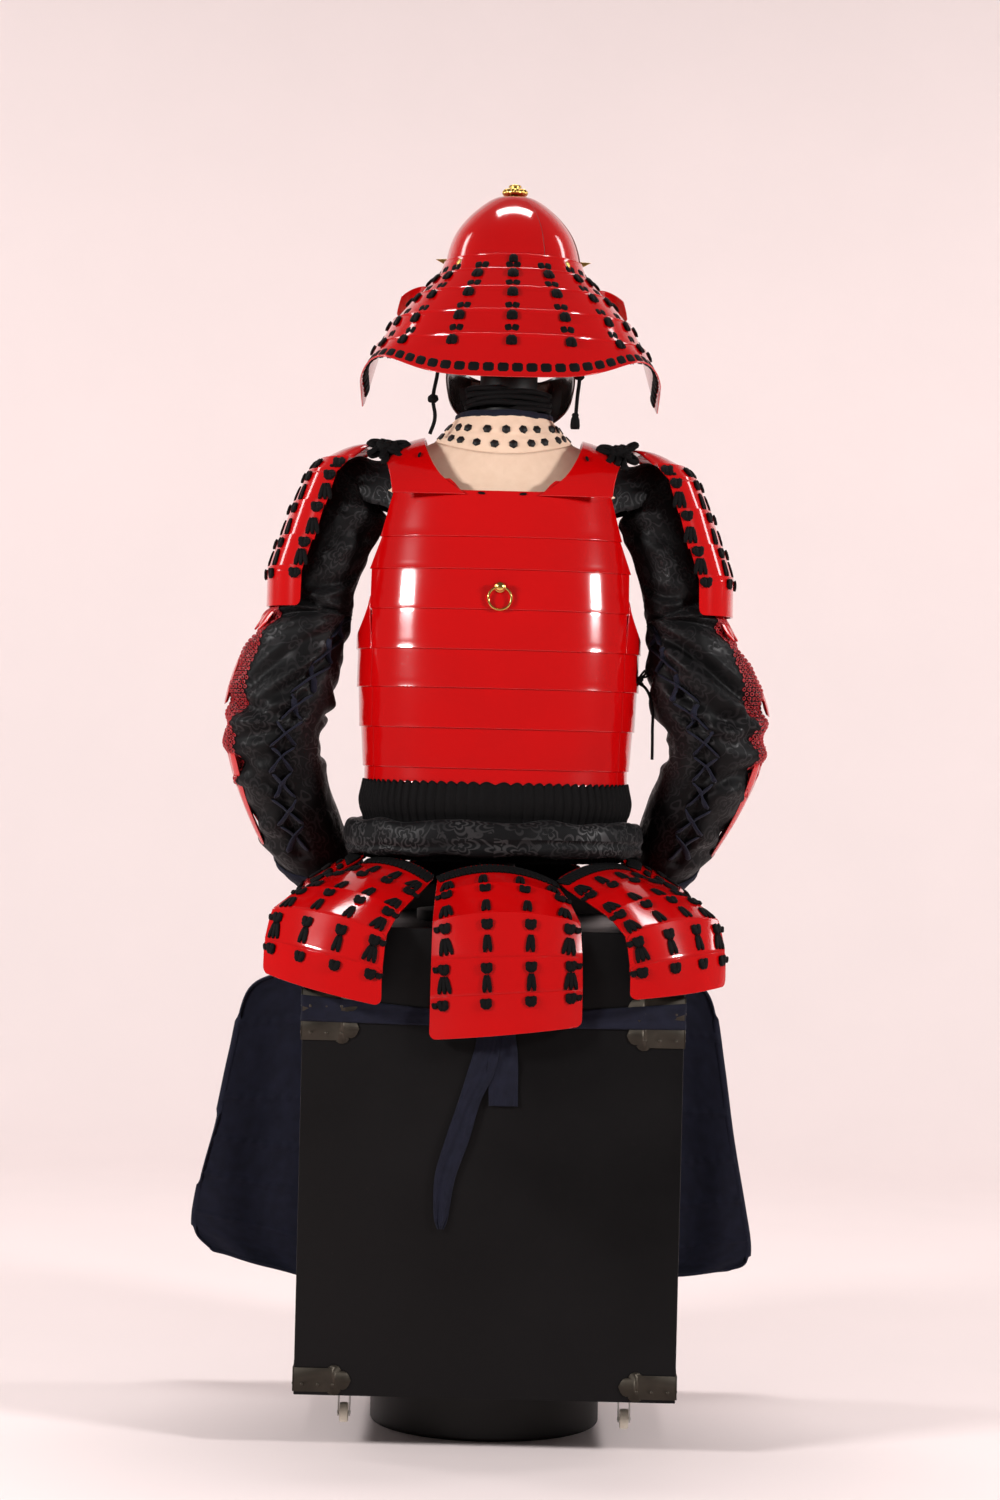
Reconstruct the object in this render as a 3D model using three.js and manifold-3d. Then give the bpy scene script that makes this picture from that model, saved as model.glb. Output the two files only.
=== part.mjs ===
// Samurai armour set up on its wooden stand and lacquered storage chest.
// Millimetres. Z is up, the armour faces +Y and the origin is on the floor under the plinth's centre.
import * as THREE from 'three';
import Module from 'manifold-3d';
import { mergeVertices } from 'three/addons/utils/BufferGeometryUtils.js';

const wasm = await Module();
wasm.setup();

// Driving sizes of the whole set
const SEAM = 0.35;
const BODY_X = -5;
const HELMET_X = 2;
const PLINTH = { radius: 151, height: 71, edge: 6 };
const CHEST = { width: 480, depth: 460, base: 71.3, split: 549, top: 661, wall: 14, lip: 6.5, rise: 80 };
const CASTER = { x: 178, y: 172, head: 13, wheel: 13, width: 11, axleZ: 41, trail: 9, pad: 34 };
const PLATE = 2.4;
const CLOTH = 2.2;
const DEGREE = Math.PI / 180;

// Finishes, one for each material of the set
const finish = (color, roughness, metalness = 0) => ({ color, roughness, metalness });
const LACQUER = finish(0xc4100f, 0.2);
const CORD = finish(0x0b0b0d, 0.85);
const BROCADE = finish(0x1a191b, 0.5);
const NAVY = finish(0x151a33, 0.7);
const COTTON = finish(0xeadcc6, 0.9);
const BRASS = finish(0xc9a24a, 0.3, 1);
const CHEST_BLACK = finish(0x0a0a0b, 0.35);
const STEEL = finish(0xb9b8b2, 0.35, 1);
const WHEEL_WHITE = finish(0xe6e1d2, 0.5);
const STAND_BLACK = finish(0x161412, 0.6);
const MASK_BROWN = finish(0x241010, 0.45);

const armour = new THREE.Group();
const point = (x, y, z) => new THREE.Vector3(x, y, z);
const mix = THREE.MathUtils.lerp;

function add(name, geometry, look) {
  const mesh = new THREE.Mesh(geometry, new THREE.MeshStandardMaterial(look));
  mesh.name = name;
  armour.add(mesh);
  return mesh;
}

// One closed body from points and triangles, its faces turned to point out
function closed(points, faces) {
  let volume = 0;
  const corner = (k) => points[faces[k]];
  for (let k = 0; k < faces.length; k += 3) {
    volume += corner(k).dot(point(0, 0, 0).crossVectors(corner(k + 1), corner(k + 2)));
  }
  const turned = volume > 0 ? faces : faces.slice().reverse();
  const geometry = new THREE.BufferGeometry();
  geometry.setAttribute('position', new THREE.Float32BufferAttribute(points.flatMap((p) => p.toArray()), 3));
  geometry.setIndex(turned);
  geometry.computeVertexNormals();
  return geometry;
}

// A sheet with thickness between matching rows of outer and inner points
function wall(outer, inner, ring = false) {
  const rows = outer.length;
  const columns = outer[0].length;
  const half = rows * columns;
  const spans = ring ? columns : columns - 1;
  const faces = [];
  const at = (i, j) => i * columns + (j % columns);
  const quad = (a, b, c, d) => faces.push(a, b, c, a, c, d);
  for (let i = 0; i < rows - 1; i += 1) {
    for (let j = 0; j < spans; j += 1) {
      quad(at(i, j), at(i, j + 1), at(i + 1, j + 1), at(i + 1, j));
      quad(half + at(i, j), half + at(i + 1, j), half + at(i + 1, j + 1), half + at(i, j + 1));
    }
  }
  const last = rows - 1;
  for (let j = 0; j < spans; j += 1) {
    quad(at(0, j), half + at(0, j), half + at(0, j + 1), at(0, j + 1));
    quad(at(last, j), at(last, j + 1), half + at(last, j + 1), half + at(last, j));
  }
  if (!ring) {
    const end = columns - 1;
    for (let i = 0; i < last; i += 1) {
      quad(at(i, 0), at(i + 1, 0), half + at(i + 1, 0), half + at(i, 0));
      quad(at(i + 1, end), at(i, end), half + at(i, end), half + at(i + 1, end));
    }
  }
  return closed([...outer.flat(), ...inner.flat()], faces);
}

// Rows of points moved along their own normals, away from the given middle or towards it
function shift(grid, depth, middle, ring = false) {
  const columns = grid[0].length;
  return grid.map((row, i) => row.map((p, j) => {
    const up = grid[Math.max(i - 1, 0)][j];
    const down = grid[Math.min(i + 1, grid.length - 1)][j];
    const left = ring ? row[(j + columns - 1) % columns] : row[Math.max(j - 1, 0)];
    const right = ring ? row[(j + 1) % columns] : row[Math.min(j + 1, columns - 1)];
    const normal = point(0, 0, 0).crossVectors(down.clone().sub(up), right.clone().sub(left)).normalize();
    if (normal.dot(p.clone().sub(middle)) < 0) normal.negate();
    return p.clone().addScaledVector(normal, depth);
  }));
}

// The value of one column of a table at a height between its rows
function column(table, key, z) {
  let k = 0;
  while (k < table.length - 2 && z < table[k + 1].z) k += 1;
  const t = THREE.MathUtils.clamp((table[k].z - z) / (table[k].z - table[k + 1].z), 0, 1);
  return mix(table[k][key], table[k + 1][key], t);
}

const steps = (count) => Array.from({ length: count + 1 }, (_, k) => k / count);

// A squared oval seen from above, angle 0 at the back and positive towards +X
function oval(angle, half, depth, z, square = 2.4) {
  const s = Math.sin(angle);
  const c = Math.cos(angle);
  const x = half * Math.sign(s) * Math.abs(s) ** (2 / square);
  return point(x, -depth * Math.sign(c) * Math.abs(c) ** (2 / square), z);
}

function toManifold(geometry) {
  const bare = geometry.clone();
  bare.deleteAttribute('normal');
  bare.deleteAttribute('uv');
  const merged = mergeVertices(bare, 1e-4);
  return new wasm.Manifold(new wasm.Mesh({
    numProp: 3,
    vertProperties: new Float32Array(merged.attributes.position.array),
    triVerts: new Uint32Array(merged.index.array),
  }));
}

function fromManifold(body) {
  const mesh = body.getMesh();
  const geometry = new THREE.BufferGeometry();
  geometry.setAttribute('position', new THREE.BufferAttribute(new Float32Array(mesh.vertProperties), 3));
  geometry.setIndex(new THREE.BufferAttribute(new Uint32Array(mesh.triVerts), 1));
  geometry.computeVertexNormals();
  return geometry;
}

const block = (low, high) => {
  const size = high.clone().sub(low);
  return new THREE.BoxGeometry(size.x, size.y, size.z).translate(...low.clone().add(high).divideScalar(2));
};
const joined = (...parts) => parts.map(toManifold).reduce((sum, part) => sum.add(part));
const turned = (profile, segments) => {
  const lathe = new THREE.LatheGeometry(profile.map(([r, z]) => new THREE.Vector2(r, z)), segments);
  return lathe.rotateX(Math.PI / 2);
};

// Round plinth that lifts the chest off the floor
const { radius, height, edge } = PLINTH;
const rim = [[0, 0], [radius, 0], [radius, height - edge], [radius - edge * 0.3, height - edge * 0.3]];
add('plinth', turned([...rim, [radius - edge, height], [0, height]], 32), STAND_BLACK);

// Storage chest: open box with a rebate, and the deep cap lid that drops over it
const chestBox = (inset, low, high) => block(
  point(inset - CHEST.width / 2, inset - CHEST.depth / 2, low),
  point(CHEST.width / 2 - inset, CHEST.depth / 2 - inset, high),
);
const casterCorners = [[-1, -1], [1, -1], [-1, 1], [1, 1]];
const lipTop = CHEST.split + CHEST.rise;
let chestBody = toManifold(chestBox(0, CHEST.base, CHEST.split))
  .add(toManifold(chestBox(CHEST.lip + SEAM, CHEST.base + 1, lipTop)))
  .subtract(toManifold(chestBox(CHEST.wall, CHEST.base + CHEST.wall, lipTop + 1)));
const padTop = CHEST.base + 1;
const padBottom = CHEST.base - 2.3;
for (const [sx, sy] of casterCorners) {
  const centre = point(sx * CASTER.x, sy * CASTER.y, 0);
  const reach = point(CASTER.pad / 2, CASTER.pad / 2, 0);
  const pad = block(centre.clone().sub(reach).setZ(padBottom), centre.clone().add(reach).setZ(padTop));
  chestBody = chestBody.add(toManifold(pad));
}
add('chest_body', fromManifold(chestBody), CHEST_BLACK);
const lid = toManifold(chestBox(0, CHEST.split + SEAM, CHEST.top))
  .subtract(toManifold(chestBox(CHEST.lip, CHEST.split - 1, CHEST.top - CHEST.wall)));
add('chest_lid', fromManifold(lid), CHEST_BLACK);

// Four swivel casters, clear of the floor while the chest stands on its plinth
const headTop = padBottom - SEAM;
const cheekGap = CASTER.width / 2 + 0.8;
const axleRadius = 2.2;
casterCorners.forEach(([sx, sy], k) => {
  const x = sx * CASTER.x;
  const y = sy * CASTER.y;
  const axleY = y - CASTER.trail;
  const head = new THREE.CylinderGeometry(CASTER.head, CASTER.head, 4, 12).rotateX(Math.PI / 2);
  head.translate(x, y, headTop - 2);
  const cheeks = [-1, 1].map((side) => {
    const outline = new THREE.Shape([
      new THREE.Vector2(y - 8, headTop - 3),
      new THREE.Vector2(y + 8, headTop - 3),
      new THREE.Vector2(axleY + 5, CASTER.axleZ - 4),
      new THREE.Vector2(axleY - 5, CASTER.axleZ - 4),
    ]);
    const cheek = new THREE.ExtrudeGeometry(outline, { depth: 1.6, bevelEnabled: false });
    cheek.applyMatrix4(new THREE.Matrix4().set(0, 0, 1, 0, 1, 0, 0, 0, 0, 1, 0, 0, 0, 0, 0, 1));
    return cheek.translate(x + (side > 0 ? cheekGap : -cheekGap - 1.6), 0, 0);
  });
  const axle = new THREE.CylinderGeometry(axleRadius, axleRadius, 2 * cheekGap + 4.6, 8).rotateZ(Math.PI / 2);
  axle.translate(x, axleY, CASTER.axleZ);
  add(`caster_fork_${k + 1}`, fromManifold(joined(head, ...cheeks, axle)), STEEL);
  const half = CASTER.width / 2;
  const tread = [[axleRadius + 0.5, -half], [CASTER.wheel - 2, -half], [CASTER.wheel, 2 - half]];
  const wheel = turned([...tread, [CASTER.wheel, half - 2], [CASTER.wheel - 2, half], [axleRadius + 0.5, half],
    [axleRadius + 0.5, -half]], 14);
  add(`caster_wheel_${k + 1}`, wheel.rotateY(Math.PI / 2).translate(x, axleY, CASTER.axleZ), WHEEL_WHITE);
});

// Cuirass of five hinged plates, each built of lames that overlap a little at every border
const CUIRASS = [
  { z: 1222, half: 168, back: 112, front: 96, edge: 142 },
  { z: 1162, half: 180, back: 120, front: 108, edge: 158 },
  { z: 1120, half: 185, back: 124, front: 114, edge: 171 },
  { z: 1068, half: 188, back: 127, front: 120, edge: 169 },
  { z: 1016, half: 188.5, back: 128, front: 122, edge: 166 },
  { z: 966, half: 186.5, back: 128, front: 122, edge: 165 },
  { z: 914, half: 182, back: 126, front: 120, edge: 163 },
  { z: 862, half: 176, back: 121, front: 116, edge: 160 },
  { z: 842, half: 173.5, back: 120, front: 115, edge: 159 },
];
const LAME_STEP = 1.2;
const SQUARE = 2.4;
const ARMHOLE_Z = 1085;
const HINGE_GAP = 0.003;

// The lame borders from one height down to another, each with its overlap
function lameRows(top, borders, bottom) {
  const first = borders.find((z) => z < top) ?? bottom;
  const above = [1222, ...borders].filter((z) => z >= top).pop() ?? top;
  const start = -LAME_STEP * (top - first) / Math.max(above - first, 1);
  const rows = [{ z: top, off: start }];
  for (const z of borders.filter((border) => border < top)) {
    rows.push({ z, off: 0 }, { z: z - 0.4, off: -LAME_STEP });
  }
  return [...rows, { z: bottom, off: 0 }];
}
const BORDERS = [1162, 1120, 1068, 1016, 966, 914, 862];

function cuirassPoint(angle, z, off) {
  const depth = column(CUIRASS, Math.cos(angle) > 0 ? 'back' : 'front', z) + off;
  return oval(angle, column(CUIRASS, 'half', z) + off, depth, z, SQUARE).setX(
    oval(angle, column(CUIRASS, 'half', z) + off, depth, z, SQUARE).x + BODY_X,
  );
}
const hinge = (z) => Math.asin((column(CUIRASS, 'edge', z) / column(CUIRASS, 'half', z)) ** (SQUARE / 2));

function cuirassPlate(rows, from, to, spans) {
  const skin = (depth) => rows.map(({ z, off }) => (
    steps(spans).map((u) => cuirassPoint(mix(from(z), to(z), u), z, off - depth))
  ));
  return wall(skin(0), skin(PLATE));
}
const backRows = lameRows(1222, BORDERS.slice(1), 842);
add('cuirass_back', cuirassPlate(backRows, (z) => -hinge(z), hinge, 14), LACQUER);
const frontRows = lameRows(1186, BORDERS.slice(1), 842);
const frontFrom = (z) => Math.PI - hinge(z);
add('cuirass_front', cuirassPlate(frontRows, frontFrom, (z) => Math.PI + hinge(z), 12), LACQUER);
const sideRows = lameRows(ARMHOLE_Z, BORDERS.slice(1), 842);
for (const side of [-1, 1]) {
  const name = side < 0 ? 'cuirass_side_left' : 'cuirass_side_right';
  const from = (z) => side * (hinge(z) + HINGE_GAP);
  add(name, cuirassPlate(sideRows, from, (z) => side * (Math.PI - hinge(z) - HINGE_GAP), 4), LACQUER);
}

// Shoulder straps from the back plate's neck edge over the yoke to the front plate
const STRAP = [
  { y: -111, z: 1222.4, inner: 52, innerZ: 1222.4, outer: 142, outerZ: 1222.4 },
  { y: -106, z: 1236, inner: 78, innerZ: 1240, outer: 145, outerZ: 1234 },
  { y: -92, z: 1256, inner: 93, innerZ: 1262, outer: 149, outerZ: 1250 },
  { y: -66, z: 1276, inner: 102, innerZ: 1284, outer: 154, outerZ: 1264 },
  { y: -20, z: 1290, inner: 104, innerZ: 1297, outer: 156, outerZ: 1274 },
  { y: 30, z: 1282, inner: 102, innerZ: 1294, outer: 154, outerZ: 1270 },
  { y: 70, z: 1240, inner: 98, innerZ: 1262, outer: 148, outerZ: 1242 },
  { y: 92, z: 1200, inner: 92, innerZ: 1222, outer: 142, outerZ: 1208 },
  { y: 97, z: 1187, inner: 88, innerZ: 1186.4, outer: 138, outerZ: 1186.4 },
];
for (const side of [-1, 1]) {
  const grid = STRAP.map((row) => steps(3).map((u) => point(
    BODY_X + side * mix(row.inner, row.outer, u),
    row.y,
    mix(row.innerZ, row.outerZ, u) + 3 * Math.sin(Math.PI * u) * Math.min(1, (row.z - 1187) / 60),
  )));
  const middle = point(BODY_X + side * 125, 0, 1150);
  add(side < 0 ? 'shoulder_strap_left' : 'shoulder_strap_right', wall(grid, shift(grid, -3, middle)), LACQUER);
}

// Ring that hangs from a stud on the back plate
const STUD = { z: 1097, eye: 4.6, reach: 9.2, head: 6.7, base: 7.2, neck: 4.4, bore: 2.7 };
const RING = { radius: 14.6, wire: 1.8 };
const plateY = cuirassPoint(0, STUD.z, -LAME_STEP * 0.6).y - LAME_STEP * 0.6;
const eyeY = plateY - STUD.eye;
const studProfile = [[0, 0.3], [STUD.base, 0.3], [STUD.base, 1.2], [STUD.neck, 2], [STUD.neck, STUD.reach],
  [STUD.head, STUD.reach + 0.4], [STUD.head * 0.8, STUD.reach + 3], [STUD.head * 0.4, STUD.reach + 4.4],
  [0, STUD.reach + 4.8]];
const stud = turned(studProfile, 14).rotateX(Math.PI / 2).translate(BODY_X, plateY, STUD.z);
const bore = new THREE.CylinderGeometry(STUD.bore, STUD.bore, 20, 10).rotateZ(Math.PI / 2);
bore.translate(BODY_X, eyeY, STUD.z);
add('ring_stud', fromManifold(toManifold(stud).subtract(toManifold(bore))), BRASS);
const ring = new THREE.TorusGeometry(RING.radius, RING.wire, 6, 24).rotateX(Math.PI / 2);
const ringMesh = add('back_ring', ring, BRASS);
ringMesh.position.set(BODY_X, eyeY, STUD.z - RING.radius);

// Padded brocade sash tied round the lacing
const SASH = { z: 771, half: 186, depth: 134, thick: 14, rise: 24, points: 8 };
const sashRows = steps(SASH.points).slice(0, -1).map((u) => {
  const across = Math.cos(2 * Math.PI * u) * SASH.thick;
  const z = SASH.z + Math.sin(2 * Math.PI * u) * SASH.rise;
  return Array.from({ length: 32 }, (_, k) => {
    const p = oval(k * Math.PI / 16, SASH.half + across, SASH.depth + across, z);
    return p.setX(p.x + BODY_X);
  });
});
function roll(rows) {
  const count = rows.length;
  const columns = rows[0].length;
  const faces = [];
  for (let i = 0; i < count; i += 1) {
    for (let j = 0; j < columns; j += 1) {
      const a = i * columns + j;
      const b = i * columns + (j + 1) % columns;
      const c = ((i + 1) % count) * columns + (j + 1) % columns;
      const d = ((i + 1) % count) * columns + j;
      faces.push(a, b, c, a, c, d);
    }
  }
  return closed(rows.flat(), faces);
}
add('sash', roll(sashRows), BROCADE);

// Tassets of five laced lames; the lower lames lie outside, and all lean out over the chest's edge
const REAR_FALL = { out: [0, 0.457, 0.88, 0.97, 1, 1], down: [0, 0.114, 0.27, 0.507, 0.735, 1] };
const CORNER_FALL = { out: [0, 0.33, 0.69, 0.93, 0.99, 1], down: [0, 0.135, 0.27, 0.44, 0.7, 1] };
const FRONT_FALL = { out: [0, 0.36, 0.72, 0.95, 1, 1], down: [0, 0.13, 0.26, 0.45, 0.7, 1] };
const TASSETS = {
  tasset_rear: {
    top: [[-76, -133, 723.6], [74, -133, 719.5]],
    hem: [[-80, -245, 522], [111, -245, 543]],
    fall: REAR_FALL, bulge: [20, 27], spans: 6,
  },
  tasset_rear_left: {
    top: [[-160, -72, 742], [-78.6, -131, 723]],
    hem: [[-293, -205, 599], [-140, -275, 565]],
    fall: CORNER_FALL, bulge: [10, 24], spans: 6,
  },
  tasset_rear_right: {
    top: [[74.7, -130, 720.5], [155, -72, 742]],
    hem: [[169, -276, 580], [293, -194, 595]],
    fall: CORNER_FALL, bulge: [10, 24], spans: 6,
  },
  tasset_side_left: {
    top: [[-172, 42, 743], [-174, -58, 743]],
    hem: [[-268, 56, 590], [-268, -86, 590]],
    fall: FRONT_FALL, bulge: [10, 14], spans: 4,
  },
  tasset_side_right: {
    top: [[164, -58, 743], [162, 42, 743]],
    hem: [[262, -86, 590], [262, 56, 590]],
    fall: FRONT_FALL, bulge: [10, 14], spans: 4,
  },
  tasset_front_left: {
    top: [[-14, 118, 730], [-118, 90, 733]],
    hem: [[-14, 262, 560], [-168, 262, 560]],
    fall: FRONT_FALL, bulge: [12, 16], spans: 4,
  },
  tasset_front_right: {
    top: [[108, 90, 733], [4, 118, 730]],
    hem: [[158, 262, 560], [4, 262, 560]],
    fall: FRONT_FALL, bulge: [12, 16], spans: 4,
  },
};
const TASSET_STEP = 1.6;
const TASSET_WALL = 2.9;

// A row of a tasset: its two ends, the direction it bulges in and how far
function tassetRows({ top, hem, fall, bulge }) {
  const [leftTop, rightTop] = top.map((p) => point(...p));
  const [leftHem, rightHem] = hem.map((p) => point(...p));
  const end = (from, to, k) => point(
    mix(from.x, to.x, fall.out[k]),
    mix(from.y, to.y, fall.out[k]),
    mix(from.z, to.z, fall.down[k]),
  );
  const rows = fall.out.map((_, k) => ({ left: end(leftTop, leftHem, k), right: end(rightTop, rightHem, k) }));
  return rows.map((row, k) => {
    const middle = (r) => r.left.clone().add(r.right).divideScalar(2);
    const before = middle(rows[Math.max(k - 1, 0)]);
    const after = middle(rows[Math.min(k + 1, rows.length - 1)]);
    const across = row.right.clone().sub(row.left);
    const normal = point(0, 0, 0).crossVectors(across, after.sub(before)).normalize();
    return { ...row, normal: normal.negate(), bulge: mix(bulge[0], bulge[1], fall.down[k]) };
  });
}

function tassetSkin(rows, spans, depth) {
  const grid = [];
  const line = (row, off) => steps(spans).map((u) => row.left.clone().lerp(row.right, u).addScaledVector(
    row.normal,
    row.bulge * (1 - (2 * u - 1) ** 2) + off - depth,
  ));
  for (let k = 0; k < rows.length - 1; k += 1) {
    grid.push(line(rows[k], TASSET_STEP), line(rows[k + 1], 0));
  }
  return grid;
}
for (const [name, tasset] of Object.entries(TASSETS)) {
  const rows = tassetRows(tasset);
  add(name, wall(tassetSkin(rows, tasset.spans, 0), tassetSkin(rows, tasset.spans, TASSET_WALL)), LACQUER);
}

// Suspension lacing: a flared band of cords side by side, from the cuirass down to the tassets' top edges
const FLUTES = 42;
const LACING = [
  { z: 841.5, half: 175, depth: 121.5, flute: 1.6 },
  { z: 818, half: 179.5, depth: 126, flute: 1.8 },
  { z: 795, half: 174, depth: 121, flute: 0.9 },
  { z: 750, half: 167, depth: 115, flute: 0.4 },
];
const LACING_WALL = 4;
const hanging = ['rear', 'rear_right', 'side_right', 'front_right', 'front_left', 'side_left', 'rear_left'];

// The tassets' top edges as one line round the waist, just short of their edges
const topEdge = (depth) => hanging.flatMap((place) => {
  const tasset = TASSETS[`tasset_${place}`];
  const [first, second] = tassetSkin(tassetRows(tasset), tasset.spans, depth);
  return first.map((p, j) => p.clone().sub(second[j].clone().sub(p).setLength(SEAM)));
});

// Where the line is met, seen from above, by a ray from the body's middle through a point
function meet(line, through) {
  const ray = through.clone().setX(through.x - BODY_X).setZ(0);
  for (let k = 0; k < line.length; k += 1) {
    const a = line[k];
    const b = line[(k + 1) % line.length];
    const sideOf = (p) => ray.x * p.y - ray.y * (p.x - BODY_X);
    const t = sideOf(a) / (sideOf(a) - sideOf(b));
    const hit = a.clone().lerp(b, t);
    if (t >= 0 && t <= 1 && ray.x * (hit.x - BODY_X) + ray.y * hit.y > 0) return hit;
  }
  return through;
}
const lacing = (depth) => {
  const grid = LACING.map((row) => Array.from({ length: 2 * FLUTES }, (_, k) => {
    const off = depth > 0 ? -depth : row.flute * (k % 2 ? 1 : -1);
    const p = oval(k * Math.PI / FLUTES, row.half + off, row.depth + off, row.z);
    return p.setX(p.x + BODY_X);
  }));
  const line = topEdge(depth > 0 ? TASSET_WALL : 0);
  return [...grid, grid[grid.length - 1].map((p) => meet(line, p))];
};
add('waist_lacing', wall(lacing(0), lacing(LACING_WALL), true), CORD);

// Shoulder guards: a cap plate and five lames curved round the upper arm
const GUARD = [
  { z: 1279, out: 154, rear: 154, reach: 30 },
  { z: 1284, out: 198, rear: 172, reach: 50 },
  { z: 1266, out: 240, rear: 196, reach: 66 },
  { z: 1250, out: 256, rear: 213, reach: 72 },
  { z: 1208, out: 275, rear: 228, reach: 76 },
  { z: 1162, out: 292, rear: 242, reach: 78 },
  { z: 1121, out: 307, rear: 257, reach: 80 },
  { z: 1069, out: 309, rear: 260, reach: 80 },
];
const GUARD_STEP = 1.8;
const guardPoint = (row, u, side, off) => {
  const swing = Math.cos(u * Math.PI / 2);
  const outward = mix(row.rear, row.out, swing) + off;
  return point(BODY_X + side * outward, row.reach * Math.sin(u * Math.PI / 2), row.z + off * 0.5);
};
for (const side of [-1, 1]) {
  const skin = (depth) => {
    const line = (row, off) => steps(8).map((t) => guardPoint(row, 2 * t - 1, side, off - depth));
    const grid = [line(GUARD[0], 0), line(GUARD[1], 0)];
    for (let k = 2; k < GUARD.length - 1; k += 1) {
      grid.push(line(GUARD[k], GUARD_STEP), line(GUARD[k + 1], 0));
    }
    return grid;
  };
  add(side < 0 ? 'shoulder_guard_left' : 'shoulder_guard_right', wall(skin(0), skin(3.2)), LACQUER);
}

// Brocade sleeves, padded out and open at shoulder and wrist, with the forearms brought forward
const SLEEVES = [
  { z: 1234, y: 0, leftOut: 234, leftIn: 168, rightOut: 226, rightIn: 160, depth: 50, tilt: 0, lean: 28 },
  { z: 1200, y: 0, leftOut: 256, leftIn: 156, rightOut: 246, rightIn: 150, depth: 58, tilt: 0, lean: 14 },
  { z: 1150, y: 0, leftOut: 277, leftIn: 176, rightOut: 264, rightIn: 167, depth: 60, tilt: 0, lean: 0 },
  { z: 1100, y: -2, leftOut: 291, leftIn: 195, rightOut: 278, rightIn: 183, depth: 61, tilt: 0, lean: 0 },
  { z: 1072, y: -4, leftOut: 301, leftIn: 198, rightOut: 288, rightIn: 187, depth: 62, tilt: 0, lean: 0 },
  { z: 1054, y: -5, leftOut: 315, leftIn: 201, rightOut: 298, rightIn: 190, depth: 63, tilt: 0, lean: 0 },
  { z: 1006, y: -10, leftOut: 340, leftIn: 212, rightOut: 323, rightIn: 193, depth: 65, tilt: 0, lean: 0 },
  { z: 948, y: -14, leftOut: 358, leftIn: 222, rightOut: 347, rightIn: 200, depth: 66, tilt: 0, lean: 0 },
  { z: 900, y: -12, leftOut: 359, leftIn: 238, rightOut: 346, rightIn: 224, depth: 60, tilt: 6, lean: 0 },
  { z: 860, y: 2, leftOut: 352, leftIn: 233, rightOut: 337, rightIn: 212, depth: 56, tilt: 20, lean: 0 },
  { z: 816, y: 28, leftOut: 338, leftIn: 220, rightOut: 318, rightIn: 197, depth: 54, tilt: 32, lean: 0 },
  { z: 765, y: 66, leftOut: 315, leftIn: 203, rightOut: 288, rightIn: 184, depth: 50, tilt: 40, lean: 0 },
  { z: 724, y: 102, leftOut: 286, leftIn: 186, rightOut: 258, rightIn: 170, depth: 40, tilt: 46, lean: 0 },
  { z: 704, y: 128, leftOut: 258, leftIn: 180, rightOut: 236, rightIn: 162, depth: 32, tilt: 50, lean: 0 },
];
const ELBOW = 8;
for (const side of ['left', 'right']) {
  const sign = side === 'left' ? -1 : 1;
  const rings = (depth) => SLEEVES.map((row) => {
    const out = row[`${side}Out`] - depth;
    const inside = row[`${side}In`] + depth;
    return Array.from({ length: 16 }, (_, k) => {
      const angle = k * Math.PI / 8;
      const across = Math.cos(angle);
      const along = Math.sin(angle) * (row.depth - depth);
      const x = sign * ((out + inside) / 2 + across * (out - inside) / 2);
      const z = row.z + along * Math.sin(row.tilt * DEGREE) + across * row.lean;
      return point(x, row.y + along * Math.cos(row.tilt * DEGREE), z);
    });
  });
  // One sleeve of cloth, made as two tubes that meet in its elbow's crease, a seam's width apart
  const part = (grid, first, last) => grid.slice(first, last + 1).map((ring, i) => (i || !first ? ring
    : ring.map((p, k) => p.clone().add(grid[first + 1][k].clone().sub(p).setLength(SEAM)))));
  for (const [name, first, last] of [['upper', 0, ELBOW], ['lower', ELBOW, SLEEVES.length - 1]]) {
    add(`sleeve_${side}_${name}`, wall(part(rings(0), first, last), part(rings(CLOTH), first, last), true), BROCADE);
  }
}

// Hand guards that lie ahead of the wrists on the chest's top
const HAND = { y: 134, length: 92, z: 685.4, drop: 10, half: 36, rise: 17 };
for (const side of ['left', 'right']) {
  const centre = side === 'left' ? -218 : 198;
  const inward = side === 'left' ? 26 : -26;
  const skin = (depth) => steps(4).map((v) => steps(8).map((u) => {
    const angle = Math.PI * u;
    const taper = Math.sqrt(1 - (0.86 * v) ** 2);
    const half = HAND.half * taper - depth;
    const rise = HAND.rise * (0.4 + 0.6 * taper) - depth;
    return point(
      centre + inward * v - Math.cos(angle) * half,
      HAND.y + HAND.length * v,
      HAND.z - HAND.drop * v - 14 + Math.sin(angle) * (rise + 14),
    );
  }));
  add(`hand_guard_${side}`, wall(skin(0), skin(CLOTH)), LACQUER);
}

// Shoulder yoke of cream cotton under the straps, and the quilted collar that stands on it
const YOKE = [
  { half: 92, back: 74, front: 70, zBack: 1274, zSide: 1292 },
  { half: 126, back: 88, front: 82, zBack: 1244, zSide: 1277 },
  { half: 152, back: 94, front: 86, zBack: 1219, zSide: 1262 },
  { half: 184, back: 97, front: 88, zBack: 1192, zSide: 1240 },
];
const NECK_SPANS = 24;
function neckRing(row, off, rise = 0) {
  return Array.from({ length: NECK_SPANS }, (_, k) => {
    const angle = k * 2 * Math.PI / NECK_SPANS;
    const c = Math.cos(angle);
    const depth = c > 0 ? row.back : row.front;
    const p = oval(angle, row.half + off, depth + off, mix(row.zSide, row.zBack, c * c) + rise, 2.1);
    return p.setX(p.x + BODY_X);
  });
}
const yokeGrid = YOKE.map((row) => neckRing(row, 0));
add('shoulder_yoke', wall(yokeGrid, YOKE.map((row) => neckRing(row, 0, -CLOTH)), true), COTTON);
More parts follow.
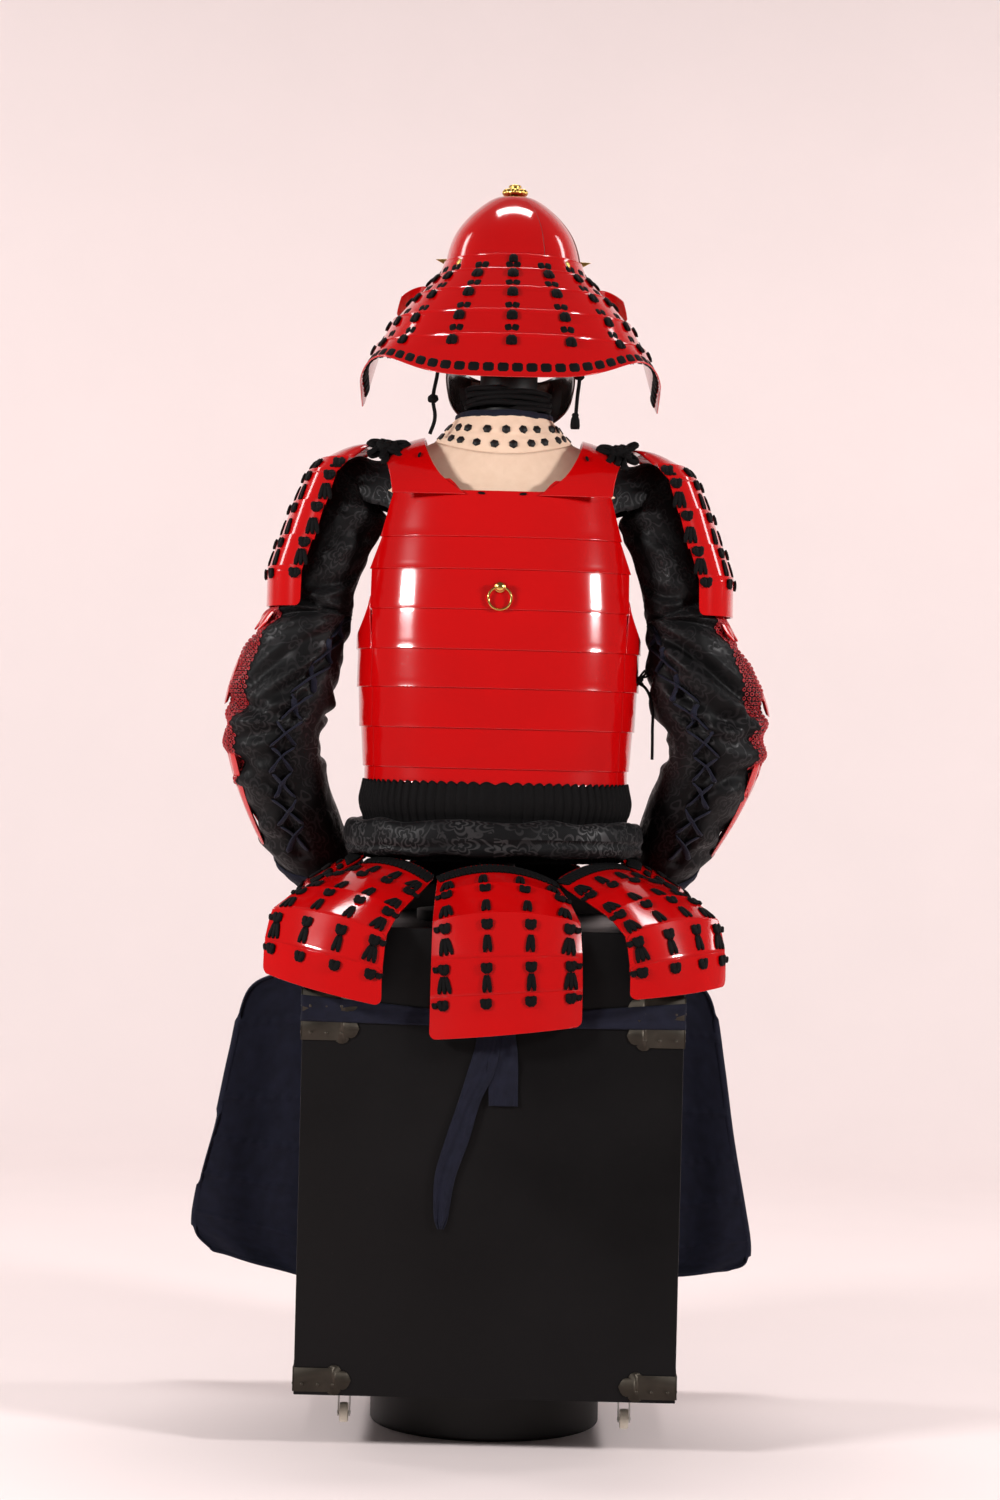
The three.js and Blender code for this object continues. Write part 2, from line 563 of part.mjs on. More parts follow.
const COLLAR = [
  { half: 62, back: 56, front: 52, zBack: 1330, zSide: 1326 },
  { half: 74, back: 64, front: 60, zBack: 1304, zSide: 1310 },
  { half: 91.7, back: 73.7, front: 69.7, zBack: 1274.3, zSide: 1292.3 },
];
const collarInner = COLLAR.map((row) => neckRing(row, -3));
add('collar', wall(COLLAR.map((row) => neckRing(row, 0)), collarInner, true), COTTON);

// Stand: a turned post with its foot on the lid and a sloped shoulder bar, and the padded head rest
const NECK = { radius: 38, low: 1302, top: 1440 };
const postProfile = [[0, CHEST.top + SEAM], [105, CHEST.top + SEAM], [105, CHEST.top + 14], [24, CHEST.top + 24],
  [22, NECK.low - 20], [NECK.radius, NECK.low], [NECK.radius, NECK.top], [0, NECK.top]];
const BAR = [[0, 1298], [90, 1287.6], [124, 1272.1], [150, 1256.8], [181, 1235.1], [212, 1222], [218, 1210], [212, 1199.8]];
const barOutline = [...BAR, [150, 1211.6], [24, 1238], [0, 1240]];
const mirrorBar = barOutline.slice(1, -1).reverse().map(([x, z]) => [-x, z]);
const barShape = new THREE.Shape([...barOutline, ...mirrorBar].map(([x, z]) => new THREE.Vector2(x, z)));
const barSolid = new THREE.ExtrudeGeometry(barShape, { depth: 30, bevelEnabled: false });
barSolid.rotateX(Math.PI / 2).translate(BODY_X, 15, 0);
add('stand_post', fromManifold(joined(turned(postProfile, 24), barSolid)), STAND_BLACK);
const REST = { radius: 62, low: NECK.top + SEAM, side: 1520, crown: 27.6, top: 1612.2 };
add('head_rest', turned([[0, REST.low], [30, REST.low], [REST.radius, REST.side], [56, 1566], [REST.crown, REST.top],
  [0, REST.top]], 20).translate(HELMET_X, 0, 0), STAND_BLACK);

// Neck cords wound over the collar round the post
const WINDING = { z: 1346, radius: 48.5, cord: 10 };
const windingRows = steps(6).slice(0, -1).map((u) => Array.from({ length: 22 }, (_, k) => {
  const angle = k * Math.PI / 11;
  const r = WINDING.radius + Math.cos(2 * Math.PI * u) * WINDING.cord + (k % 2) * 0.8;
  const z = WINDING.z + Math.sin(2 * Math.PI * u) * 13;
  return point(r * Math.cos(angle), r * Math.sin(angle), z);
}));
add('neck_cords', roll(windingRows), CORD);

// Helmet bowl, open at the crown hole and below
const BOWL = [
  { z: 1619, half: 8, depth: 9 },
  { z: 1615, half: 29, depth: 35 },
  { z: 1596, half: 54, depth: 66 },
  { z: 1575, half: 72, depth: 88 },
  { z: 1555, half: 82, depth: 101 },
  { z: 1530, half: 88, depth: 109 },
  { z: 1496, half: 91, depth: 113 },
];
const bowlRing = (row, off, drop) => Array.from({ length: 28 }, (_, k) => {
  const p = oval(k * Math.PI / 14, row.half - off, row.depth - off, row.z - drop, 2.05);
  return p.setX(p.x + HELMET_X);
});
const bowlInner = BOWL.map((row, k) => bowlRing(row, k < 2 ? 0.6 : 2.4, k < 3 ? 2.4 : 0));
add('helmet_bowl', wall(BOWL.map((row) => bowlRing(row, 0, 0)), bowlInner, true), LACQUER);
const FINIAL = [[0, 1612.6], [5.6, 1612.6], [5.6, 1619.6], [16, 1619.8], [15, 1622.5], [9, 1625], [6.5, 1629],
  [8.4, 1632], [6, 1636], [0, 1637.5]];
add('helmet_finial', turned(FINIAL, 12).translate(HELMET_X, 0, 0), BRASS);

// Brow visor and the plain crest in front
const visorEnd = 62 * DEGREE;
const VISOR = [{ z: 1519, out: 0.9 }, { z: 1509, out: 12 }, { z: 1496, out: 30 }];
const visorGrid = VISOR.map((row) => steps(12).map((u) => {
  const angle = Math.PI + mix(-visorEnd, visorEnd, u);
  const fade = Math.cos((u - 0.5) * Math.PI);
  const half = column(BOWL, 'half', row.z) + 0.9 + (row.out - 0.9) * (0.35 + 0.65 * fade);
  const depth = column(BOWL, 'depth', row.z) + 0.9 + (row.out - 0.9) * (0.35 + 0.65 * fade);
  const p = oval(angle, half, depth, row.z, 2.05);
  return p.setX(p.x + HELMET_X);
}));
add('helmet_visor', wall(visorGrid, visorGrid.map((row) => row.map((p) => p.clone().setZ(p.z - 2))), false), LACQUER);
const crestShape = new THREE.Shape();
crestShape.moveTo(-9, 1524);
crestShape.lineTo(9, 1524);
crestShape.quadraticCurveTo(74, 1530, 106, 1552);
crestShape.quadraticCurveTo(60, 1556, 12, 1546);
crestShape.lineTo(0, 1552);
crestShape.lineTo(-12, 1546);
crestShape.quadraticCurveTo(-60, 1556, -106, 1552);
crestShape.quadraticCurveTo(-74, 1530, -9, 1524);
const crest = new THREE.ExtrudeGeometry(crestShape, { depth: 1.6, bevelEnabled: false, curveSegments: 4 });
add('helmet_crest', crest.rotateX(Math.PI / 2).translate(HELMET_X, 112, 0), BRASS);

// Neck guard: the base plate and four lames, each lame outside the one above
const NECK_GUARD = [
  { z: 1529, half: 91.5, back: 112, front: 10 },
  { z: 1509, half: 99, back: 119, front: 24 },
  { z: 1483, half: 122, back: 137, front: 44 },
  { z: 1451, half: 148, back: 153, front: 58 },
  { z: 1418, half: 166, back: 164, front: 66 },
  { z: 1361, half: 187, back: 180, front: 70 },
];
const GUARD_SPANS = 18;
const GUARD_LAP = 7;
const GUARD_STACK = 2.9;

// A point of the neck guard: an oval round the back, then straight on to the front corners
function guardRim(row, u, off) {
  const turn = THREE.MathUtils.clamp(u / 0.8, -1, 1) * Math.PI / 2;
  const ahead = Math.max(Math.abs(u) - 0.8, 0) / 0.2;
  const p = oval(turn, row.half + off, row.back + off, row.z, 2.2);
  return point(HELMET_X + p.x, p.y + row.front * ahead, row.z);
}

// The lowest edge droops behind, lifts over the shoulders and falls again at its front corners
function hemLift(u) {
  const t = Math.abs(u);
  const shoulder = 32 * Math.exp(-(((t - 0.52) / 0.22) ** 2));
  return shoulder - 16 * Math.max(t - 0.8, 0) / 0.2;
}
const between = (a, b, t) => ({
  z: mix(a.z, b.z, t), half: mix(a.half, b.half, t), back: mix(a.back, b.back, t), front: mix(a.front, b.front, t),
});
const lowest = NECK_GUARD.length - 2;
for (let k = 0; k <= lowest; k += 1) {
  const upper = NECK_GUARD[k];
  const lower = NECK_GUARD[k + 1];
  const next = NECK_GUARD[k + 2];
  const rows = k < lowest
    ? [upper, between(lower, next, (k ? GUARD_LAP : 0) / (lower.z - next.z))]
    : [upper, between(upper, lower, 0.5), lower];
  const skin = (depth) => rows.map((row, i) => steps(GUARD_SPANS).map((t) => {
    const u = 2 * t - 1;
    const p = guardRim(row, u, GUARD_STACK * k - depth);
    return p.setZ(p.z + (k === lowest && i === rows.length - 1 ? hemLift(u) : 0));
  }));
  add(k ? `neck_guard_lame_${k}` : 'helmet_base_plate', wall(skin(0), skin(2.2)), LACQUER);
}

// Turned-back plates: they start at the first lame's front ends, run forward and curl outwards
const TURN_BACK = [
  { x: 0, y: 0.6 }, { x: 1, y: 12 }, { x: 9, y: 21 }, { x: 22, y: 24 }, { x: 36, y: 21 },
];
for (const side of [-1, 1]) {
  const grid = steps(4).map((v) => TURN_BACK.map((row, k) => point(
    HELMET_X + side * (106.3 + 25 * v + row.x * (1 - 0.35 * v ** 3)),
    28.6 + 34 * v + row.y,
    1503 - 46 * v + k * (1 - v) * 1.5 - k * v * 1.2,
  )));
  const inner = grid.map((row, i) => row.map((p, k) => p.clone().add(
    point(side * (k < 2 ? -2.2 : -0.8), k < 2 ? 0 : 2.1, 0),
  )));
  add(side < 0 ? 'turn_back_left' : 'turn_back_right', wall(grid, inner), LACQUER);
}

// Half mask of plain, generic form with its throat guard below
const maskGrid = [
  { z: 1392, half: 84, front: 104, swing: 88 },
  { z: 1372, half: 84, front: 116, swing: 92 },
  { z: 1350, half: 80, front: 118, swing: 92 },
  { z: 1332, half: 72, front: 114, swing: 66 },
  { z: 1318, half: 58, front: 104, swing: 46 },
].map((row) => steps(12).map((u) => {
  const angle = Math.PI + mix(-row.swing, row.swing, u) * DEGREE;
  const p = oval(angle, row.half, row.front, row.z, 2);
  return p.setX(p.x + HELMET_X);
}));
const maskMiddle = point(HELMET_X, 0, 1355);
add('face_mask', wall(maskGrid, shift(maskGrid, -2.4, maskMiddle)), MASK_BROWN);
const THROAT_SWING = 54.2;
const throatGrid = [
  { z: 1317.4, half: 56, front: 105 },
  { z: 1288, half: 74, front: 114 },
  { z: 1258, half: 88, front: 122 },
].map((row) => steps(10).map((u) => {
  const p = oval(Math.PI + mix(-THROAT_SWING, THROAT_SWING, u) * DEGREE, row.half, row.front, row.z, 2);
  return p.setX(p.x + HELMET_X);
}));
add('throat_guard', wall(throatGrid, shift(throatGrid, -2.4, maskMiddle)), LACQUER);

// Apron for the thighs: a band round the chest's lid and two quilted panels in front
const BAND = { high: 574, low: 541, dropRear: 14, thick: 2 };
const chestX = CHEST.width / 2 + SEAM;
const chestY = CHEST.depth / 2 + SEAM;
const bandPath = [
  { x: -chestX, y: chestY, rear: 0 }, { x: 0, y: chestY, rear: 0 }, { x: chestX, y: chestY, rear: 0 },
  { x: chestX, y: 0, rear: 0 }, { x: chestX, y: -chestY, rear: 0.2 }, { x: 80, y: -chestY, rear: 1 },
  { x: -80, y: -chestY, rear: 1 }, { x: -chestX, y: -chestY, rear: 0.2 }, { x: -chestX, y: 0, rear: 0 },
];
const bandRing = (z, off, narrow) => bandPath.map((p) => point(
  p.x + Math.sign(p.x) * off * (Math.abs(p.x) > 100 ? 1 : 0),
  p.y + Math.sign(p.y) * off * (Math.abs(p.y) > 100 ? 1 : 0),
  z - p.rear * narrow,
));
const bandOuter = [bandRing(BAND.high, BAND.thick, BAND.dropRear), bandRing(BAND.low, BAND.thick, 2)];
const bandInner = [bandRing(BAND.high, 0, BAND.dropRear), bandRing(BAND.low, 0, 2)];
const bandWall = wall(bandOuter, bandInner, true);

// The two ends of the band's tie, one piece with it, hang down the chest's rear face from under the
// rear tasset
const TIE_LONG = [
  { z: 560, x: -8, half: 14 }, { z: 520, x: -6, half: 15 }, { z: 482, x: -14, half: 17 },
  { z: 444, x: -28, half: 14 }, { z: 396, x: -42, half: 15 }, { z: 348, x: -56, half: 13 },
  { z: 300, x: -60, half: 9 }, { z: 284, x: -60, half: 3 },
];
const TIE_SHORT = [{ z: 560, x: 10, half: 14 }, { z: 500, x: 13, half: 19 }, { z: 440, x: 15, half: 18 }];
function ribbon(rows, y) {
  const skin = (off) => rows.map((row) => [-1, 1].map((s) => point(row.x + s * row.half, y - off, row.z)));
  return wall(skin(1.6), skin(0));
}
const tieY = -chestY - BAND.thick + 0.4;
add('apron_band', fromManifold(joined(bandWall, ribbon(TIE_SHORT, tieY), ribbon(TIE_LONG, tieY - 1.2))), NAVY);

const PANELS = {
  left: [
    { inX: -22, inZ: 575, outX: -300, outZ: 570 },
    { inX: -27, inZ: 545, outX: -345, outZ: 541 },
    { inX: -46, inZ: 450, outX: -366, outZ: 452 },
    { inX: -66, inZ: 345, outX: -384, outZ: 358 },
    { inX: -84, inZ: 240, outX: -403, outZ: 282 },
    { inX: -96, inZ: 160, outX: -412, outZ: 226 },
    { inX: -102, inZ: 118, outX: -407, outZ: 200 },
    { inX: -106, inZ: 104, outX: -384, outZ: 178 },
  ],
  right: [
    { inX: 22, inZ: 575, outX: 284, outZ: 570 },
    { inX: 25, inZ: 545, outX: 306, outZ: 538 },
    { inX: 40, inZ: 450, outX: 322, outZ: 448 },
    { inX: 54, inZ: 345, outX: 337, outZ: 350 },
    { inX: 66, inZ: 240, outX: 354, outZ: 262 },
    { inX: 74, inZ: 170, outX: 364, outZ: 205 },
    { inX: 78, inZ: 146, outX: 360, outZ: 178 },
    { inX: 80, inZ: 134, outX: 336, outZ: 168 },
  ],
};
const PANEL_Y = chestY + BAND.thick + 0.4;
for (const [side, table] of Object.entries(PANELS)) {
  const skin = (depth) => table.map((row, i) => steps(7).map((u) => {
    const sway = 5 * Math.sin(u * 9 + i * 0.5) * Math.min(1, i / 3) + 5 * Math.min(1, i / 3);
    return point(mix(row.inX, row.outX, u), PANEL_Y + sway + depth, mix(row.inZ, row.outZ, u));
  }));
  add(`apron_panel_${side}`, wall(skin(2.6), skin(0)), NAVY);
}


// Chin cords and the side tie: round cords that hang free
function cord(name, route, thick) {
  const curve = new THREE.CatmullRomCurve3(route.map((p) => point(...p)));
  const turn = (k) => k * Math.PI / 4;
  const section = new THREE.Shape(Array.from({ length: 8 }, (_, k) => (
    new THREE.Vector2(Math.cos(turn(k)), Math.sin(turn(k))).multiplyScalar(thick / 2)
  )));
  const solid = new THREE.ExtrudeGeometry(section, { steps: 10, bevelEnabled: false, extrudePath: curve });
  return add(name, solid, CORD);
}
const CHIN_LEFT = [[-82.3, -38, 1495.4], [-90, -44, 1440], [-94, -46, 1380], [-99, -48, 1345], [-96, -49, 1320],
  [-102, -50, 1299]];
const CHIN_RIGHT = [[86.3, -38, 1495.4], [90, -44, 1440], [92.5, -46, 1379], [90, -47, 1350], [88, -48, 1313]];
const SIDE_TIE = [[179.4, -32, 980], [190, -38, 972], [198, -42, 950], [199.5, -42, 915], [200, -42, 879]];
cord('chin_cord_left', CHIN_LEFT, 5);
cord('chin_cord_right', CHIN_RIGHT, 5);
cord('side_tie', SIDE_TIE, 4);

export default armour;
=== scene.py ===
"""Samurai armour on its stand and lacquered storage chest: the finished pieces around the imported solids."""
import math

import bmesh
import bpy
from mathutils import Matrix, Vector, noise


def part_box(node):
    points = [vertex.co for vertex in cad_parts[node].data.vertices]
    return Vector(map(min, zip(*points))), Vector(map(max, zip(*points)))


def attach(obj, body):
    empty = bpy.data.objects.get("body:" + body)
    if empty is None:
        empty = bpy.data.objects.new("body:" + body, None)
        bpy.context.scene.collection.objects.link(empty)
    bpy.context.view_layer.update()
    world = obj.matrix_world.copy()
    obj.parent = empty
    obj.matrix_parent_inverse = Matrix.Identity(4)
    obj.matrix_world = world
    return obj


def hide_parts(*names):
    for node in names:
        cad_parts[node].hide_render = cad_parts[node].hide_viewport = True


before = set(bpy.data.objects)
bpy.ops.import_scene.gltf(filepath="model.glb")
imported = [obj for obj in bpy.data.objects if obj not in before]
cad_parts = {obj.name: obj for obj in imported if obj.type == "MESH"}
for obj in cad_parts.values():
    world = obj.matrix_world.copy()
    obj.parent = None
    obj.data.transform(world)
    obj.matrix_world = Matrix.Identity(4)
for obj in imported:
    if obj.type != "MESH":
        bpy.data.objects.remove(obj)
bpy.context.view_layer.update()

# The camera stands behind the armour at hip height, level, with a long lens.
# It is turned a little on its own axis, so the armour leans to the right by the same small angle.
camera = bpy.data.objects.new("camera", bpy.data.cameras.new("camera"))
camera.location = (0, -4.376, 0.887)
camera.rotation_euler = (math.radians(90), math.radians(-1.4), 0)
camera.data.lens = 79.2
camera.data.sensor_width = 36
bpy.context.collection.objects.link(camera)
bpy.context.scene.camera = camera
bpy.context.scene.view_settings.view_transform = "Standard"

# Free cords: two chin cords of the helmet hang from the bowl's rim, and one long end of the cuirass's
# closing tie hangs at its right side. They are round braids of black silk.
CORD_BLACK = (0.0075, 0.0072, 0.0075, 1)


def put(tree, kind, inputs=None, **settings):
    node = tree.nodes.new("ShaderNode" + kind)
    for key, value in settings.items():
        setattr(node, key, value)
    for key, value in (inputs or {}).items():
        if isinstance(value, bpy.types.NodeSocket):
            tree.links.new(value, node.inputs[key])
        else:
            node.inputs[key].default_value = value
    return node


def calc(tree, operation, a, b=0.0, c=0.0):
    return put(tree, "Math", {0: a, 1: b, 2: c}, operation=operation).outputs[0]


def effect(name, inputs, outputs):
    """An empty shader group with its sockets, and the two nodes that stand for them inside."""
    tree = bpy.data.node_groups.new(name, "ShaderNodeTree")
    for label, kind, value in inputs:
        socket = tree.interface.new_socket(label, in_out="INPUT", socket_type="NodeSocket" + kind)
        if value is not None:
            socket.default_value = value
    for label, kind in outputs:
        tree.interface.new_socket(label, in_out="OUTPUT", socket_type="NodeSocket" + kind)
    return tree, tree.nodes.new("NodeGroupInput"), tree.nodes.new("NodeGroupOutput")


def use(tree, group, inputs):
    node = put(tree, "Group")
    node.node_tree = group
    for key, value in inputs.items():
        if isinstance(value, bpy.types.NodeSocket):
            tree.links.new(value, node.inputs[key])
        else:
            node.inputs[key].default_value = value
    return node


def look(name, colour, roughness, **constants):
    """A material with its Principled shader's plain values set on the shader itself."""
    made = bpy.data.materials.new(name)
    made.use_nodes = True
    shader = made.node_tree.nodes["Principled BSDF"]
    shader.inputs["Base Color"].default_value = colour
    shader.inputs["Roughness"].default_value = roughness
    for key, value in constants.items():
        shader.inputs[key.replace("_", " ").title().replace("Ior", "IOR")].default_value = value
    return made, made.node_tree, shader


def coordinates(tree, kind="Object"):
    return put(tree, "TexCoord").outputs[kind]


def mixed(tree, factor, first, second):
    return put(tree, "Mix", {0: factor, 6: first, 7: second}, data_type="RGBA").outputs[2]


# Plaited silk: two sets of slanted strands that cross, as a height and a painted shade that darkens the
# grooves between them
plait, plait_in, plait_out = effect(
    "plaited_silk",
    [("Vector", "Vector", None), ("Pitch", "Float", 0.002)],
    [("Height", "Float"), ("Shade", "Float")],
)
plait_scaled = put(plait, "VectorMath", {0: plait_in.outputs["Vector"], 3: 1.0}, operation="SCALE")
plait.links.new(calc(plait, "DIVIDE", 1.0, plait_in.outputs["Pitch"]), plait_scaled.inputs[3])
plait_axes = put(plait, "SeparateXYZ", {0: plait_scaled.outputs[0]})
plait_flat = calc(plait, "ADD", plait_axes.outputs[0], plait_axes.outputs[1])


def strand_set(operation):
    """One set of slanted strands, from 0 between them to 1 on their crowns."""
    slant = calc(plait, operation, plait_flat, plait_axes.outputs[2])
    return calc(plait, "ABSOLUTE", calc(plait, "SINE", calc(plait, "MULTIPLY", slant, 3.14)))


plait_height = calc(plait, "MAXIMUM", strand_set("ADD"), strand_set("SUBTRACT"))
plait.links.new(plait_height, plait_out.inputs["Height"])
plait.links.new(calc(plait, "MULTIPLY", plait_height, 0.8), plait_out.inputs["Shade"])

silk_cord, tree, shader = look("black_silk_cord", CORD_BLACK, 0.7, sheen_weight=0.01, specular_ior_level=0.09)
weave = use(tree, plait, {"Vector": coordinates(tree), "Pitch": 0.0024})
# Painted shade: the cord's colour goes from a near-black tone in the grooves between strands to a lighter
# tone on their crowns
GROOVE_SHADED_STRAND_TONES = (0.0010, 0.0009, 0.0010, 1), (0.0055, 0.0046, 0.0048, 1)
tree.links.new(mixed(tree, weave.outputs["Shade"], *GROOVE_SHADED_STRAND_TONES), shader.inputs["Base Color"])
bump = put(tree, "Bump", {"Strength": 0.5, "Distance": 0.0006, "Height": weave.outputs["Height"]})
tree.links.new(bump.outputs[0], shader.inputs["Normal"])


def keep(piece, nodes=(), body="armour"):
    """Puts a piece under its body and hides the solids it replaces."""
    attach(piece, body)
    if nodes:
        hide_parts(*nodes)
    return piece


def free_cord(name, route, thickness):
    curve = bpy.data.curves.new(name, "CURVE")
    curve.dimensions = "3D"
    curve.resolution_u = 8
    curve.bevel_depth = thickness / 2
    curve.bevel_resolution = 4
    curve.use_fill_caps = True
    spline = curve.splines.new("BEZIER")
    spline.bezier_points.add(len(route) - 1)
    for knot, place in zip(spline.bezier_points, route):
        knot.co = place
        knot.handle_left_type = knot.handle_right_type = "AUTO"
    piece = bpy.data.objects.new(name, curve)
    bpy.context.collection.objects.link(piece)
    curve.materials.append(silk_cord)
    bpy.context.view_layer.update()
    keep(piece, [name.replace("_braid", "")])
    return piece


CHIN_LEFT = [(-0.0823, -0.038, 1.4954), (-0.090, -0.044, 1.440), (-0.094, -0.046, 1.380),
             (-0.099, -0.048, 1.345), (-0.096, -0.049, 1.320), (-0.102, -0.050, 1.299)]
CHIN_RIGHT = [(0.0863, -0.038, 1.4954), (0.090, -0.044, 1.440), (0.0925, -0.046, 1.379),
              (0.090, -0.047, 1.350), (0.088, -0.048, 1.313)]
SIDE_TIE = [(0.1794, -0.032, 0.980), (0.190, -0.038, 0.972), (0.198, -0.042, 0.950),
            (0.1995, -0.042, 0.915), (0.200, -0.042, 0.879)]
free_cord("chin_cord_left_braid", CHIN_LEFT, 0.005)
free_cord("chin_cord_right_braid", CHIN_RIGHT, 0.005)
free_cord("side_tie_braid", SIDE_TIE, 0.004)

# Studio: one pale sweep of paper that runs from the floor up behind the armour, two low, wide soft boxes
# at the photographer's left and right, a panel overhead and two lights for the paper.
SWEEP = {"width": 12.0, "near": -7.0, "bend": 2.6, "radius": 1.6, "top": 5.0}
paper, tree, shader = look("backdrop_paper", (0.93, 0.80, 0.785, 1), 0.9)
speck = put(tree, "TexNoise", {"Vector": coordinates(tree), "Scale": 3.0, "Detail": 2.0})
PAPER_TONES = (0.95, 0.815, 0.80, 1), (0.91, 0.785, 0.77, 1)
tree.links.new(mixed(tree, speck.outputs["Fac"], *PAPER_TONES), shader.inputs["Base Color"])


def sheet_of_points(bm, columns, rows, place):
    """A grid of faces laid out by place(u, v), with a UV map of u and v."""
    made = bmesh.ops.create_grid(bm, x_segments=columns, y_segments=rows, size=0.5, calc_uvs=True)
    for vert in made["verts"]:
        vert.co = place(min(max(vert.co.x + 0.5, 0), 1), min(max(vert.co.y + 0.5, 0), 1))
    return made["verts"]


def sweep_place(u, v):
    run = v * (SWEEP["bend"] - SWEEP["near"] + math.pi / 2 * SWEEP["radius"] + SWEEP["top"])
    x = (u - 0.5) * SWEEP["width"]
    flat = SWEEP["bend"] - SWEEP["near"]
    if run < flat:
        return Vector((x, SWEEP["near"] + run, 0))
    turn = (run - flat) / SWEEP["radius"]
    if turn < math.pi / 2:
        return Vector((x, SWEEP["bend"] + SWEEP["radius"] * math.sin(turn),
                       SWEEP["radius"] * (1 - math.cos(turn))))
    rise = (turn - math.pi / 2) * SWEEP["radius"]
    return Vector((x, SWEEP["bend"] + SWEEP["radius"], SWEEP["radius"] + rise))


def mesh_object(name, bm, material):
    mesh = bpy.data.meshes.new(name)
    bm.to_mesh(mesh)
    bm.free()
    for face in mesh.polygons:
        face.use_smooth = True
    mesh.materials.append(material)
    made = bpy.data.objects.new(name, mesh)
    bpy.context.collection.objects.link(made)
    return made


def new_mesh():
    bm = bmesh.new()
    bm.loops.layers.uv.new("UVMap")
    return bm


bm = new_mesh()
sheet_of_points(bm, 8, 90, sweep_place)
mesh_object("backdrop", bm, paper)

world = bpy.data.worlds.new("studio_air")
bpy.context.scene.world = world
world.use_nodes = True
world.node_tree.nodes["Background"].inputs[0].default_value = (1, 0.93, 0.91, 1)
world.node_tree.nodes["Background"].inputs[1].default_value = 0.13

# Each light's name, place, target, size and power
SOFT_BOXES = [
    ("soft_box_left", (-2.12, -1.62, 1.635), (0.0, -0.1, 1.0), (0.56, 0.23), 58),
    ("soft_box_right", (2.2, -1.5, 1.635), (0.0, -0.1, 1.0), (0.40, 0.23), 52),
    ("overhead_panel", (0.0, 0.75, 4.0), (0.0, 0.0, 1.0), (1.6, 0.6), 45),
    ("backdrop_light_left", (-3.2, 1.2, 2.6), (-0.5, 4.0, 1.4), (1.0, 2.4), 60),
    ("backdrop_light_right", (3.2, 1.2, 2.6), (0.5, 4.0, 1.4), (1.0, 2.4), 60),
]
for name, place, target, size, power in SOFT_BOXES:
    light = bpy.data.lights.new(name, "AREA")
    light.shape = "RECTANGLE"
    light.size, light.size_y = size
    light.energy = power
    lamp = bpy.data.objects.new(name, light)
    lamp.location = place
    lamp.rotation_euler = (Vector(target) - Vector(place)).to_track_quat("-Z", "Y").to_euler()
    bpy.context.collection.objects.link(lamp)

# Plinth: a low turned drum of black wood that lifts the chest off the floor, its top edge rounded.
BLACK_WOOD = [(0.007, 0.0062, 0.006, 1), (0.010, 0.009, 0.0085, 1), (0.02, 0.018, 0.016, 1)]


def ranged(tree, value, low, high):
    return put(tree, "MapRange", {0: value, 1: 0.3, 2: 0.7, 3: low, 4: high}).outputs[0]


# Handwork: slow unevenness of a hand-made surface, with fine specks of dust and small scuffs
handwork, hand_in, hand_out = effect(
    "handwork",
    [("Vector", "Vector", None), ("Size", "Float", 8.0)],
    [("Cloud", "Float"), ("Scuff", "Float"), ("Speck", "Float"), ("Height", "Float")],
)
cloud = put(handwork, "TexNoise", {"Vector": hand_in.outputs["Vector"], "Scale": 8.0, "Detail": 3.0})
handwork.links.new(hand_in.outputs["Size"], cloud.inputs["Scale"])
fine_size = calc(handwork, "MULTIPLY", hand_in.outputs["Size"], 22.0)
scuff = put(handwork, "TexNoise", {"Vector": hand_in.outputs["Vector"], "Scale": fine_size, "Detail": 6.0,
                                   "Roughness": 0.7, "Distortion": 1.5})
dot = put(handwork, "TexVoronoi", {"Vector": hand_in.outputs["Vector"], "Scale": fine_size})
handwork.links.new(cloud.outputs["Fac"], hand_out.inputs["Cloud"])
handwork.links.new(put(handwork, "MapRange", {0: scuff.outputs["Fac"], 1: 0.62, 2: 0.74}).outputs[0],
                   hand_out.inputs["Scuff"])
handwork.links.new(put(handwork, "MapRange", {0: dot.outputs["Distance"], 1: 0.07, 2: 0.02}).outputs[0],
                   hand_out.inputs["Speck"])
fine_relief = calc(handwork, "MULTIPLY", scuff.outputs["Fac"], 0.06)
handwork.links.new(calc(handwork, "ADD", cloud.outputs["Fac"], fine_relief), hand_out.inputs["Height"])


def hand_finished(name, colours, gloss, size, relief, **constants):
    """A material with clouded colour, uneven gloss and a slight unevenness of the surface."""
    made, tree, shader = look(name, colours[0], gloss[0], **constants)
    work = use(tree, handwork, {"Vector": coordinates(tree), "Size": size})
    base = mixed(tree, ranged(tree, work.outputs["Cloud"], 0.0, 1.0), colours[0], colours[1])
    tree.links.new(mixed(tree, calc(tree, "MULTIPLY", work.outputs["Scuff"], 0.35), base, colours[2]),
                   shader.inputs["Base Color"])
    rough = calc(tree, "ADD", ranged(tree, work.outputs["Cloud"], *gloss),
                 calc(tree, "MULTIPLY", work.outputs["Scuff"], 0.12))
    tree.links.new(rough, shader.inputs["Roughness"])
    bump = put(tree, "Bump", {"Strength": 0.4, "Distance": relief, "Height": work.outputs["Height"]})
    tree.links.new(bump.outputs[0], shader.inputs["Normal"])
    return made


black_wood = hand_finished("black_stained_wood", BLACK_WOOD, (0.45, 0.6), 9.0, 0.0006,
                           specular_ior_level=0.25)


def turned_piece(bm, profile, centre=(0, 0), steps=72):
    """A solid turned round an upright axis from (radius, height) points."""
    ring = [bm.verts.new((centre[0] + r, centre[1], z)) for r, z in profile]
    edges = [bm.edges.new(pair) for pair in zip(ring, ring[1:])]
    bmesh.ops.spin(bm, geom=ring + edges, cent=(*centre, 0), axis=(0, 0, 1), angle=2 * math.pi, steps=steps,
                   use_merge=True)
    bmesh.ops.remove_doubles(bm, verts=bm.verts, dist=1e-6)
    bmesh.ops.recalc_face_normals(bm, faces=bm.faces)


